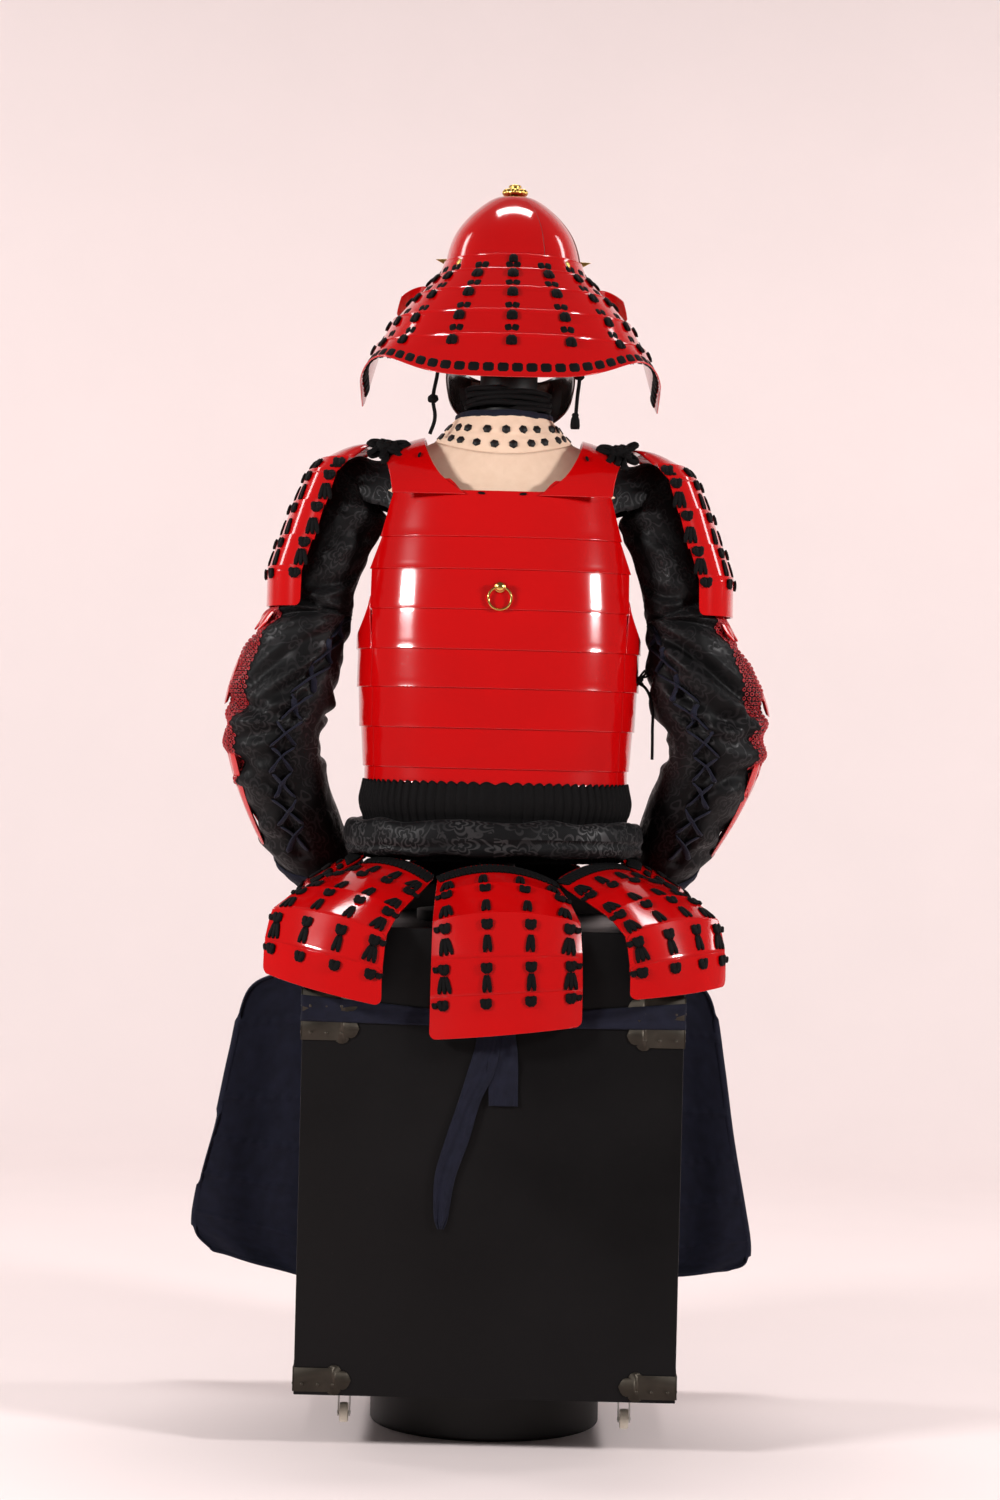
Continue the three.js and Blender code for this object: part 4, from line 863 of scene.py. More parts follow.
KNOT_COLUMNS = [0.0, 0.20, 0.43, 0.58, 0.76, 0.92]
neck_middle = lambda p: Vector((HELMET_X, 0, p.z - 0.05))
neck_names = ["base_plate"] + [f"neck_lame_{k}" for k in range(1, 5)]
neck_nodes = ["helmet_base_plate"] + [f"neck_guard_lame_{k}" for k in range(1, 5)]
ties = new_mesh()
for k, name in enumerate(neck_names):
    bm = new_mesh()

    def lame_place(u, v):
        lip = 0.0012 * max((v - 0.9) / 0.1, 0) ** 2 + 0.0016 * max(1 - v / 0.09, 0) ** 1.5 * (1 if k else 0.5)
        return guard_place(k, 2 * u - 1, v, lip)

    verts = sheet_of_points(bm, 120, 30, lame_place)
    face_out(bm, verts, neck_middle)
    lacquered(name, bm, 0.002, 0.0008, 3, [neck_nodes[k]])
    length = (lame_place(0.5, 1) - lame_place(0.5, 0)).length
    for at in KNOT_COLUMNS:
        for side in ((-1, 1) if at else (1,)):
            u = 0.5 + side * at / 2
            here, across, down, out = directions(lame_place, u, (0.0085 if k else 0.006) / length)
            if out.dot(here - neck_middle(here)) < 0:
                out = -out
            if k or not at:
                cross_knot(ties, here + down * 0.0015, across, down, out, 0.98 if k else 0.8)
            if k < LAST:
                low, across, down, out = directions(lame_place, u, 1 - (0.0138 if k else 0.0052) / length)
                for step in (-1, 1):
                    spot = low + across * (step * 0.0045) + out * 0.0014
                    pad(ties, spot, across, down, out, 0.0102, 0.0104, 0.0042, step * 0.25)
    if k == LAST:
        u, last_spot = 0.004, lame_place(0.004, 0.83)
        while u < 0.996:
            spot = lame_place(u, 1 - 0.0125 / length)
            if (spot - last_spot).length >= 0.0182:
                here, across, down, out = directions(lame_place, u, 1 - 0.0125 / length)
                cross_knot(ties, here, across, down, out, 1.13)
                last_spot = spot
            u += 0.0008
keep(mesh_object("neck_guard_knots", ties, silk_cord))

# Gilt rosette rivets that hold the base plate, one at each side of the back.
bm = new_mesh()
for side in (-1, 1):
    here, across, down, out = directions(lambda u, v: guard_place(0, 2 * u - 1, v), 0.5 + side * 0.208, 0.40)
    for radius, lift, squeeze in ((0.0072, 0.0014, 0.25), (0.0040, 0.0030, 0.6)):
        round_head(bm, here + out * lift, out, radius, squeeze, 16, 10)
keep(mesh_object("base_plate_rivets", bm, gilt))

# Turned-back plates: the first lame's front ends curl outwards beside the face.
CURL = [(0, 0.0006), (0.001, 0.012), (0.009, 0.021), (0.022, 0.024), (0.036, 0.021)]
for name, side in SIDES:
    bm = new_mesh()

    def curl_place(u, v):
        v = 0.46 + (v - 0.46) * (1 - 0.62 * (max(u - 0.5, 0) / 0.5) ** 2.2)
        bend, back = row_at(CURL, u)
        return Vector((HELMET_X + side * (0.1063 + 0.025 * v + bend * (1 - 0.35 * v ** 3)),
                       0.0286 + 0.034 * v + back, 1.503 - 0.046 * v + u * (0.0060 * (1 - v) - 0.0048 * v)))

    verts = sheet_of_points(bm, 28, 16, curl_place)
    face_out(bm, verts, lambda p: Vector((HELMET_X, p.y + 0.04, p.z)))
    lacquered(f"turned_back_plate_{name}", bm, 0.0018, 0.0007, 3, [f"turn_back_{name}"])

# Tassets: five curved lames each, red lacquer, the lower ones outside. A zigzag band of cord is sewn
# along each top edge, and knots with flat pairs of cord hang every lame from the one above.
REAR_FALL = ((0, 0.457, 0.88, 0.97, 1, 1), (0, 0.114, 0.27, 0.507, 0.735, 1))
CORNER_FALL = ((0, 0.33, 0.69, 0.93, 0.99, 1), (0, 0.135, 0.27, 0.44, 0.7, 1))
FRONT_FALL = ((0, 0.36, 0.72, 0.95, 1, 1), (0, 0.13, 0.26, 0.45, 0.7, 1))
# Each tasset's corners (two at the top, two at the hem), its fall, and its bulge at the top and the hem
TASSETS = {
    "rear": ((-0.076, -0.133, 0.7236), (0.074, -0.133, 0.7195),
             (-0.080, -0.245, 0.522), (0.111, -0.245, 0.543), REAR_FALL, (0.020, 0.027)),
    "rear_left": ((-0.160, -0.072, 0.742), (-0.0786, -0.131, 0.723),
                  (-0.293, -0.205, 0.599), (-0.140, -0.275, 0.565), CORNER_FALL, (0.010, 0.024)),
    "rear_right": ((0.0747, -0.130, 0.7205), (0.155, -0.072, 0.742),
                   (0.169, -0.276, 0.580), (0.293, -0.194, 0.595), CORNER_FALL, (0.010, 0.024)),
    "side_left": ((-0.172, 0.042, 0.743), (-0.174, -0.058, 0.743),
                  (-0.268, 0.056, 0.590), (-0.268, -0.086, 0.590), FRONT_FALL, (0.010, 0.014)),
    "side_right": ((0.164, -0.058, 0.743), (0.162, 0.042, 0.743),
                   (0.262, -0.086, 0.590), (0.262, 0.056, 0.590), FRONT_FALL, (0.010, 0.014)),
    "front_left": ((-0.014, 0.118, 0.730), (-0.118, 0.090, 0.733),
                   (-0.014, 0.262, 0.560), (-0.168, 0.262, 0.560), FRONT_FALL, (0.012, 0.016)),
    "front_right": ((0.108, 0.090, 0.733), (0.004, 0.118, 0.730),
                    (0.158, 0.262, 0.560), (0.004, 0.262, 0.560), FRONT_FALL, (0.012, 0.016)),
}
TASSET_STEP = 0.0016
INNER_TONES = [(0.004, 0.003, 0.003, 1), (0.007, 0.005, 0.005, 1), (0.015, 0.01, 0.01, 1)]
inner_black = hand_finished("inner_black_lacquer", INNER_TONES, (0.5, 0.65), 8.0, 0.0006,
                            specular_ior_level=0.15)
CORNER_ROUND = 0.009
ZIGZAG = {"pitch": 0.0034, "drop": 0.0150, "wide": 0.0052, "high": 0.0215}
# Where each column of knots lies across a lame, and whether its knots are double
TASSET_COLUMNS = [(0.09, True), (0.37, False), (0.66, False), (0.92, True)]


def eased(v):
    return 0.5 - 0.5 * math.cos(math.pi * v)


def rounded_corner(u, from_edge, width, radius=CORNER_ROUND):
    """Draws u in towards the middle where a lame's corner is rounded off."""
    if from_edge >= radius:
        return u
    inset = radius - math.sqrt(max(radius ** 2 - (radius - from_edge) ** 2, 0))
    return 0.5 + (u - 0.5) * (1 - 2 * inset / width)


def tasset_rows(shape):
    top_left, top_right, hem_left, hem_right, (outs, downs), bulge = shape
    rows = []
    for out, down in zip(outs, downs):
        ends = [Vector((mix(a[0], b[0], out), mix(a[1], b[1], out), mix(a[2], b[2], down)))
                for a, b in ((top_left, hem_left), (top_right, hem_right))]
        rows.append(ends + [mix(*bulge, down)])
    for k, row in enumerate(rows):
        before, after = rows[max(k - 1, 0)], rows[min(k + 1, len(rows) - 1)]
        fall = (after[0] + after[1] - before[0] - before[1]) / 2
        row.append(-(row[1] - row[0]).cross(fall).normalized())
    return rows


def rows_apart(rows, k):
    return (rows[k + 1][0] + rows[k + 1][1] - rows[k][0] - rows[k][1]).length / 2


def tasset_line(row, u, off):
    left, right, bulge, normal = row
    return left.lerp(right, u) + normal * (bulge * (1 - (2 * u - 1) ** 2) + off)


for name, shape in TASSETS.items():
    rows = tasset_rows(shape)
    bm = new_mesh()
    ties = new_mesh()
    for k in range(5):
        height = rows_apart(rows, k)
        width = (rows[k][1] - rows[k][0]).length
        lap = LAME_LAP if k < 4 else 0.0

        def flat_place(u, v):
            a, b = tasset_line(rows[k], u, TASSET_STEP if k else 0), tasset_line(rows[k + 1], u, 0)
            if v * (height + lap) <= height:
                return a.lerp(b, v * (height + lap) / height)
            below = tasset_line(rows[min(k + 2, 5)], u, -TASSET_STEP)
            return b + (below - b).normalized() * (v * (height + lap) - height) - rows[k + 1][3] * 0.0006

        def lame_place(u, v):
            v = eased(v)
            reach = min(v * height, (1 - v) * height if k == 4 else 1)
            return flat_place(rounded_corner(u, reach, width), v)

        verts = sheet_of_points(bm, 48, 18, lame_place)
        face_out(bm, verts, lambda p: p - rows[k][3])
        for at, double in TASSET_COLUMNS:
            knot_drop = 0.0105 if k else 0.0265
            here, across, down, out = directions(flat_place, at, min(knot_drop / height, 0.7), rows[k][3])
            if k:
                cross_knot(ties, here, across, down, out)
                if double:
                    edge = -1 if at < 0.5 else 1
                    wards = 1 if across.dot(rows[k][1] - rows[k][0]) > 0 else -1
                    beside = across * (edge * wards * SMALL_KNOT["beside"])
                    cross_knot(ties, here + beside, across, down, out, SMALL_KNOT["size"])
            if k < 4:
                room = height - (0.0185 if k else 0.031)
                length = min(max(room - 0.0008, 0.003), LONGEST_PAIR)
                start = flat_place(at, 1 - (length + 0.0012 + lap) / (height + lap))
                flat_pair(ties, start, across, down, out, length, 3 if double else 2)
    top_edge = [tasset_line(rows[0], k / 60, 0) for k in range(61)]
    count = round(sum((b - a).length for a, b in zip(top_edge, top_edge[1:])) / ZIGZAG["pitch"])

    def top_place(u, v):
        return tasset_line(rows[0], u, 0).lerp(tasset_line(rows[1], u, 0), v)

    for step in range(1, count):
        here, across, down, out = directions(top_place, step / count, ZIGZAG["drop"] / rows_apart(rows, 0),
                                             rows[0][3])
        pad(ties, here + out * 0.0012, across, down, out, ZIGZAG["wide"], ZIGZAG["high"], 0.0042,
            0.32 if step % 2 else 0.22)
    lacquered(f"tasset_lames_{name}", bm, 0.0024, 0.0008, 3, [f"tasset_{name}"], inner_black)
    keep(mesh_object(f"tasset_ties_{name}", ties, silk_cord))

# Shoulder guards: a cap plate and five lames curved round the upper arm, laced like the tassets.
# The guard's rows: height, how far out, how far out at its front and rear edges, and its half depth
GUARD = [(1.279, 0.154, 0.154, 0.030), (1.284, 0.198, 0.172, 0.050), (1.266, 0.240, 0.196, 0.066),
         (1.250, 0.256, 0.213, 0.072), (1.208, 0.275, 0.228, 0.076), (1.162, 0.292, 0.242, 0.078),
         (1.121, 0.307, 0.257, 0.080), (1.069, 0.309, 0.260, 0.080)]
GUARD_STEP = 0.0018
GUARD_COLUMNS = [(0.06, True), (0.30, False), (0.5, False), (0.70, False), (0.94, True)]


def guard_line(row, u, side, off):
    z, out, rear, reach = row
    outward = mix(rear, out, math.cos(u * math.pi / 2)) + off
    return Vector((BODY_X + side * outward, reach * math.sin(u * math.pi / 2), z + off * 0.5))


for name, side in SIDES:
    bm = new_mesh()
    ties = new_mesh()

    def cap_place(u, v):
        rows_of = [guard_line(row, 2 * u - 1, side, 0) for row in GUARD[:3]]
        return along(rows_of, v)

    verts = sheet_of_points(bm, 40, 16, cap_place)
    face_out(bm, verts, lambda p: Vector((BODY_X + side * 0.15, 0, 1.10)))
    for k in range(2, len(GUARD) - 1):
        height = (guard_line(GUARD[k + 1], 0, side, 0) - guard_line(GUARD[k], 0, side, 0)).length

        def flat_place(u, v):
            spread = (height + LAME_LAP) / height if k < len(GUARD) - 2 else 1
            return guard_line(GUARD[k], 2 * u - 1, side, GUARD_STEP).lerp(
                guard_line(GUARD[k + 1], 2 * u - 1, side, 0), v * spread)

        def lame_place(u, v):
            v = eased(v)
            reach = min(v * height, (1 - v) * height if k == len(GUARD) - 2 else 1)
            return flat_place(rounded_corner(u, reach, 0.19), v)

        verts = sheet_of_points(bm, 48, 14, lame_place)
        face_out(bm, verts, lambda p: Vector((BODY_X + side * 0.15, 0, p.z)))
        for at, double in GUARD_COLUMNS:
            here, across, down, out = directions(flat_place, at, min(0.010 / height, 0.6),
                                                 Vector((side, 0, 0)))
            cross_knot(ties, here, across, down, out)
            if double:
                beside = (flat_place(at, 0.2) - flat_place(0.5, 0.2)).normalized() * SMALL_KNOT["beside"]
                cross_knot(ties, here + beside, across, down, out, SMALL_KNOT["size"])
            if k < len(GUARD) - 2:
                length = min(max(height - 0.0185, 0.003), LONGEST_PAIR)
                start = flat_place(at, (height - length - 0.001) / (height + LAME_LAP))
                flat_pair(ties, start, across, down, out, length, 3 if double else 2)
    lacquered(f"shoulder_lames_{name}", bm, 0.0026, 0.0009, 3, [f"shoulder_guard_{name}"])
    keep(mesh_object(f"shoulder_ties_{name}", ties, silk_cord))

# Suspension lacing: black silk cords side by side from the cuirass to the tassets, bulging over the
# waist, their upper ends turned over the cuirass's lower border in scallops.
CORDS_ROUND = 84
LACING = [(0.8415, 0.175, 0.1215), (0.830, 0.178, 0.1245), (0.818, 0.1795, 0.126), (0.805, 0.1775, 0.124),
          (0.795, 0.174, 0.121), (0.770, 0.170, 0.118), (0.750, 0.167, 0.115), (0.742, 0.168, 0.1175)]
bm = new_mesh()


def lacing_place(u, v):
    z, half, depth = row_at(LACING, v)
    lobe = abs(math.sin(u * CORDS_ROUND * math.pi))
    twist = 0.35 * math.sin(u * 8 * math.pi + v * 6) + 0.2 * math.sin(u * 20 * math.pi)
    relief = 0.0026 * lobe ** 0.7 - 0.0014 + 0.0012 * twist * math.sin(math.pi * min(v * 1.6, 1))
    crown = 0.0042 * lobe * max(1 - v * 9, 0)
    spot = oval(u * 2 * math.pi, half + relief, depth + relief, z + crown, 2.4, BODY_X)
    return spot


verts = sheet_of_points(bm, CORDS_ROUND * 8, 26, lacing_place)
bmesh.ops.remove_doubles(bm, verts=verts, dist=1e-5)
face_out(bm, list(bm.verts), lambda p: Vector((BODY_X, 0, p.z)))
keep(walled(mesh_object("suspension_lacing", bm, silk_cord), 0.003), ["waist_lacing"])

# Sash: a long strip of black silk brocade, folded, padded and wound once round the waist.
# The flowers are woven in a greyer, shinier thread than the ground, so they show by their gloss.
flowers, flowers_in, flowers_out = effect(
    "woven_flowers",
    [("Vector", "Vector", None), ("Flower", "Float", 0.046)],
    [("Figure", "Float"), ("Height", "Float")],
)
flower_vector = flowers_in.outputs["Vector"]


def cell_place(tree, vector, size_socket, ratio):
    """How far, in units of the pitch, and in which direction a spot lies from a scattered repeat's centre."""
    pitch = calc(tree, "MULTIPLY", size_socket, ratio)
    cell = put(tree, "TexVoronoi", {"Scale": calc(tree, "DIVIDE", 1.0, pitch), "Randomness": 0.8},
               voronoi_dimensions="2D")
    tree.links.new(vector, cell.inputs["Vector"])
    away = put(tree, "VectorMath", {0: vector, 1: cell.outputs["Position"]}, operation="SUBTRACT")
    axes = put(tree, "SeparateXYZ", {0: away.outputs[0]})
    angle = calc(tree, "ARCTAN2", axes.outputs[1], axes.outputs[0])
    flat = put(tree, "CombineXYZ", {0: axes.outputs[0], 1: axes.outputs[1]})
    reach = put(tree, "VectorMath", {0: flat.outputs[0]}, operation="LENGTH")
    return calc(tree, "DIVIDE", reach.outputs["Value"], pitch), angle


def band(tree, value, middle, half):
    """One inside a narrow band of values, falling to zero at its edges."""
    off = calc(tree, "ABSOLUTE", calc(tree, "SUBTRACT", value, middle))
    return put(tree, "MapRange", {0: off, 1: half, 2: half * 0.5, 3: 0.0, 4: 1.0}).outputs[0]


reach, angle = cell_place(flowers, flower_vector, flowers_in.outputs["Flower"], 1.0)
petal = calc(flowers, "ABSOLUTE", calc(flowers, "COSINE", calc(flowers, "MULTIPLY", angle, 2.5)))
rim = calc(flowers, "DIVIDE", reach, calc(flowers, "MULTIPLY_ADD", petal, 0.14, 0.2))
blossom = calc(flowers, "MAXIMUM", band(flowers, rim, 1.0, 0.13), band(flowers, rim, 0.58, 0.1))
blossom = calc(flowers, "MAXIMUM", blossom, calc(flowers, "LESS_THAN", rim, 0.2))
leaf_reach, leaf_angle = cell_place(flowers, flower_vector, flowers_in.outputs["Flower"], 0.5)
leaf_split = calc(flowers, "ABSOLUTE", calc(flowers, "SINE", calc(flowers, "MULTIPLY", leaf_angle, 1.5)))
leaf_rim = calc(flowers, "DIVIDE", leaf_reach, calc(flowers, "MULTIPLY_ADD", leaf_split, 0.3, 0.08))
leaves = calc(flowers, "MULTIPLY", band(flowers, leaf_rim, 0.9, 0.22),
              calc(flowers, "GREATER_THAN", rim, 1.25))
vine = put(flowers, "TexNoise", {"Vector": flower_vector, "Scale": 34.0, "Detail": 1.0})
stems = calc(flowers, "MULTIPLY", band(flowers, vine.outputs["Fac"], 0.5, 0.02),
             calc(flowers, "GREATER_THAN", rim, 1.1))
worn = put(flowers, "TexNoise", {"Vector": flower_vector, "Scale": 16.0, "Detail": 2.0})
shown = put(flowers, "MapRange", {0: worn.outputs["Fac"], 1: 0.36, 2: 0.6, 3: 0.25, 4: 1.0}).outputs[0]
plants = calc(flowers, "MAXIMUM", calc(flowers, "MAXIMUM", blossom, leaves), stems)
figure = calc(flowers, "MULTIPLY", plants, shown)
twill = put(flowers, "TexWave", {"Vector": flower_vector, "Scale": 260.0}, bands_direction="DIAGONAL")
flowers.links.new(figure, flowers_out.inputs["Figure"])
raised = calc(flowers, "MULTIPLY", figure, 0.65)
flowers.links.new(calc(flowers, "MULTIPLY_ADD", twill.outputs["Fac"], 0.35, raised),
                  flowers_out.inputs["Height"])


def brocade(name, ground, thread):
    made, tree, shader = look(name, ground, 0.6, sheen_weight=0.01, specular_ior_level=0.14)
    woven = use(tree, flowers, {"Vector": coordinates(tree, "UV"), "Flower": 0.046})
    fade = put(tree, "TexNoise", {"Vector": coordinates(tree, "UV"), "Scale": 9.0, "Detail": 2.0})
    base = mixed(tree, fade.outputs["Fac"], ground, tuple(c * 1.9 for c in ground[:3]) + (1,))
    tree.links.new(mixed(tree, woven.outputs["Figure"], base, thread), shader.inputs["Base Color"])
    tree.links.new(put(tree, "MapRange", {0: woven.outputs["Figure"], 3: 0.58, 4: 0.34}).outputs[0],
                   shader.inputs["Roughness"])
    bump = put(tree, "Bump", {"Strength": 0.5, "Distance": 0.0004, "Height": woven.outputs["Height"]})
    tree.links.new(bump.outputs[0], shader.inputs["Normal"])
    return made


black_brocade = brocade("black_brocade", (0.0026, 0.0025, 0.0028, 1), (0.046, 0.043, 0.044, 1))


def scale_uv(bm, width, height):
    layer = bm.loops.layers.uv.verify()
    for face in bm.faces:
        for loop in face.loops:
            loop[layer].uv = (loop[layer].uv.x * width, loop[layer].uv.y * height)


def closed_cloth(bm, columns, rows, place, uv_size, middle):
    """A sheet that closes on itself, its seam merged and its faces turned outwards."""
    verts = sheet_of_points(bm, columns, rows, place)
    scale_uv(bm, *uv_size)
    bmesh.ops.remove_doubles(bm, verts=verts, dist=1e-5)
    face_out(bm, list(bm.verts), middle)


SASH = {"z": 0.771, "half": 0.186, "depth": 0.134, "thick": 0.0128, "rise": 0.0228}
bm = new_mesh()


def sash_place(u, v):
    round_it = v * 2 * math.pi
    fold = 0.0022 * math.sin(u * 26 * math.pi + round_it * 2) * math.sin(u * 6 * math.pi + 1)
    fold += 0.0016 * math.sin(u * 14 * math.pi - round_it + math.sin(u * 4 * math.pi) * 3)
    seam = -0.0045 * swelling(v, 0.95 + 0.03 * math.sin(u * 4 * math.pi), 0.02)
    c, s = math.cos(round_it), math.sin(round_it)
    across = (abs(c) ** 0.75 * math.copysign(1, c)) * (SASH["thick"] + fold * 0.5 + seam)
    z = SASH["z"] + (abs(s) ** 0.85 * math.copysign(1, s)) * (SASH["rise"] + fold)
    z += 0.0015 * math.sin(u * 4 * math.pi + 1)
    return oval(u * 2 * math.pi, SASH["half"] + across, SASH["depth"] + across, z, 2.4, BODY_X)


verts = sheet_of_points(bm, 260, 36, sash_place)
scale_uv(bm, 1.02, 0.12)
bmesh.ops.remove_doubles(bm, verts=verts, dist=1e-5)
bmesh.ops.recalc_face_normals(bm, faces=bm.faces)
sash = keep(mesh_object("wound_sash", bm, black_brocade), ["sash"])

# Sleeves: black brocade over a padded lining, cut wide and pulled in by a navy cord laced down the
# inner back seam, so the cloth falls in slanting creases from the lacing to the outside.
sleeve_brocade = brocade("sleeve_brocade", (0.0028, 0.0026, 0.0028, 1), (0.021, 0.019, 0.020, 1))
# Each sleeve's rows: height, y, outer edge, inner edge, half depth, tilt in degrees, lean
SLEEVES = {
    "left": [(1.234, 0, 0.234, 0.168, 0.050, 0, 0.028), (1.200, 0, 0.256, 0.156, 0.058, 0, 0.014),
             (1.150, 0, 0.277, 0.176, 0.060, 0, 0), (1.100, -0.002, 0.291, 0.195, 0.061, 0, 0),
             (1.072, -0.004, 0.301, 0.198, 0.062, 0, 0), (1.054, -0.005, 0.315, 0.201, 0.063, 0, 0),
             (1.006, -0.010, 0.340, 0.212, 0.065, 0, 0), (0.948, -0.014, 0.358, 0.222, 0.066, 0, 0),
             (0.900, -0.012, 0.359, 0.238, 0.060, 6, 0), (0.860, 0.002, 0.352, 0.233, 0.056, 20, 0),
             (0.816, 0.028, 0.338, 0.220, 0.054, 32, 0), (0.765, 0.066, 0.315, 0.203, 0.050, 40, 0),
             (0.724, 0.102, 0.286, 0.186, 0.040, 46, 0), (0.704, 0.128, 0.258, 0.180, 0.032, 50, 0)],
    "right": [(1.234, 0, 0.226, 0.160, 0.050, 0, 0.028), (1.200, 0, 0.246, 0.150, 0.058, 0, 0.014),
              (1.150, 0, 0.264, 0.167, 0.060, 0, 0), (1.100, -0.002, 0.278, 0.183, 0.061, 0, 0),
              (1.072, -0.004, 0.288, 0.187, 0.062, 0, 0), (1.054, -0.005, 0.298, 0.190, 0.063, 0, 0),
              (1.006, -0.010, 0.323, 0.193, 0.065, 0, 0), (0.948, -0.014, 0.347, 0.200, 0.066, 0, 0),
              (0.900, -0.012, 0.346, 0.224, 0.060, 6, 0), (0.860, 0.002, 0.337, 0.212, 0.056, 20, 0),
              (0.816, 0.028, 0.318, 0.197, 0.054, 32, 0), (0.765, 0.066, 0.288, 0.184, 0.050, 40, 0),
              (0.724, 0.102, 0.258, 0.170, 0.040, 46, 0), (0.704, 0.128, 0.236, 0.162, 0.032, 50, 0)],
}
# Creases: where round the sleeve and where along it each one starts, how far round it runs, how much it
# falls on the way, its width and its depth
CREASES = [
    (0.56, 0.20, 0.30, 0.06, 0.018, -0.0050), (0.60, 0.34, 0.34, -0.10, 0.020, -0.0080),
    (0.66, 0.345, 0.36, 0.095, 0.022, -0.0095), (0.62, 0.40, 0.30, 0.125, 0.017, -0.0070),
    (0.64, 0.44, 0.34, 0.135, 0.020, -0.0085), (0.63, 0.50, 0.36, 0.10, 0.018, -0.0080),
    (0.66, 0.56, 0.30, 0.055, 0.015, -0.0060), (0.70, 0.565, 0.34, -0.01, 0.014, -0.0085),
    (0.72, 0.64, 0.26, 0.06, 0.018, -0.0060), (0.74, 0.70, 0.24, -0.05, 0.016, -0.0055),
    (0.76, 0.76, 0.26, 0.06, 0.018, -0.0060), (0.78, 0.82, 0.22, -0.03, 0.016, -0.0050),
    (0.55, 0.50, -0.22, 0.05, 0.018, -0.0070), (0.52, 0.58, -0.24, -0.04, 0.016, -0.0085),
    (0.50, 0.42, -0.20, 0.07, 0.020, -0.0060), (0.50, 0.66, -0.24, 0.05, 0.018, -0.0060),
    (0.34, 0.34, -0.24, 0.09, 0.022, -0.0070), (0.30, 0.50, -0.22, 0.08, 0.020, -0.0070),
    (0.28, 0.62, -0.20, -0.04, 0.018, -0.0060), (0.26, 0.76, -0.18, 0.05, 0.018, -0.0050),
    (0.50, 0.10, 0.26, 0.03, 0.020, -0.0040), (0.46, 0.16, -0.26, 0.05, 0.022, -0.0045),
]
# The lacing's route, as places round the sleeve and along it
LACED = [(0.535, 0.37), (0.60, 0.45), (0.675, 0.53), (0.71, 0.63), (0.735, 0.73), (0.75, 0.84)]


def crease_depth(u, v, turn):
    total = 0.0
    for k, (start, height, run, fall, width, depth) in enumerate(CREASES):
        shift = 0.012 * math.sin(k * 2.3 + turn)
        t = ((u - start + 0.5) % 1 - 0.5) / run
        if -0.2 < t < 1.15:
            window = math.sin(math.pi * min(max((t + 0.15) / 1.3, 0), 1)) ** 0.8
            spread = width * (0.7 + 0.6 * max(t, 0))
            away = (v - height - shift - fall * t - 0.01 * math.sin(t * 5 + k)) / spread
            wave = swelling(away, 0, 1) - 0.75 * swelling(away, 1.7, 1) - 0.4 * swelling(away, -1.9, 1)
            total += depth * window * wave
    return total


def seam_at(v):
    """How far round the sleeve its lacing lies at a height."""
    for (u0, v0), (u1, v1) in zip(LACED, LACED[1:]):
        if v0 <= v <= v1:
            return mix(u0, u1, (v - v0) / (v1 - v0))
    return LACED[0][0] if v < LACED[0][1] else LACED[-1][0]


def sleeve_place(name, u, v, off=0.0, creased=True):
    sign = -1 if name == "left" else 1
    z, y, outer, inner, depth, tilt, lean = row_at(SLEEVES[name], v)
    turn = u * 2 * math.pi
    relief = off
    if creased:
        edge = min(1, v / 0.06, (1 - v) / 0.05)
        relief += edge * crease_depth(u, v, 0 if name == "left" else 1.7)
        point = Vector((math.cos(turn), math.sin(turn), v * 7 + (3 if name == "left" else 9)))
        relief += edge * 0.0026 * noise.noise(point * 1.6) + edge * 0.0012 * noise.noise(point * 4)
        gap = abs((u - seam_at(v) + 0.5) % 1 - 0.5)
        if LACED[0][1] < v < LACED[-1][1]:
            relief -= 0.0060 * swelling(gap, 0, 0.03)
    across, side = math.cos(turn), math.sin(turn)
    x = sign * ((outer + inner) / 2 + across * ((outer - inner) / 2 + relief))
    reach = side * (depth + relief)
    return Vector((x, y + reach * math.cos(math.radians(tilt)),
                   z + reach * math.sin(math.radians(tilt)) + across * lean))


NAVY = (0.0042, 0.0046, 0.0125, 1)
cloth_weave, weave_in, weave_out = effect(
    "plain_weave",
    [("Vector", "Vector", None), ("Pitch", "Float", 0.0008)],
    [("Height", "Float"), ("Shade", "Float")],
)
weave_pitch = put(cloth_weave, "VectorMath", {0: weave_in.outputs["Vector"], 3: 1.0}, operation="SCALE")
cloth_weave.links.new(calc(cloth_weave, "DIVIDE", 6.283, weave_in.outputs["Pitch"]), weave_pitch.inputs[3])
weave_axes = put(cloth_weave, "SeparateXYZ", {0: weave_pitch.outputs[0]})
warp = calc(cloth_weave, "SINE", weave_axes.outputs[0])
weft = calc(cloth_weave, "SINE", weave_axes.outputs[1])
cloth_weave.links.new(calc(cloth_weave, "MULTIPLY", warp, weft), weave_out.inputs["Height"])
slub = put(cloth_weave, "TexNoise", {"Vector": weave_in.outputs["Vector"], "Scale": 60.0, "Detail": 4.0})
cloth_weave.links.new(slub.outputs["Fac"], weave_out.inputs["Shade"])


def woven(name, colour, other, rough, pitch, relief=0.0003, **constants):
    made, tree, shader = look(name, colour, rough, **constants)
    threads = use(tree, cloth_weave, {"Vector": coordinates(tree, "UV"), "Pitch": pitch})
    shade = ranged(tree, threads.outputs["Shade"], 0, 1)
    tree.links.new(mixed(tree, shade, colour, other), shader.inputs["Base Color"])
    bump = put(tree, "Bump", {"Strength": 0.45, "Distance": relief, "Height": threads.outputs["Height"]})
    tree.links.new(bump.outputs[0], shader.inputs["Normal"])
    return made


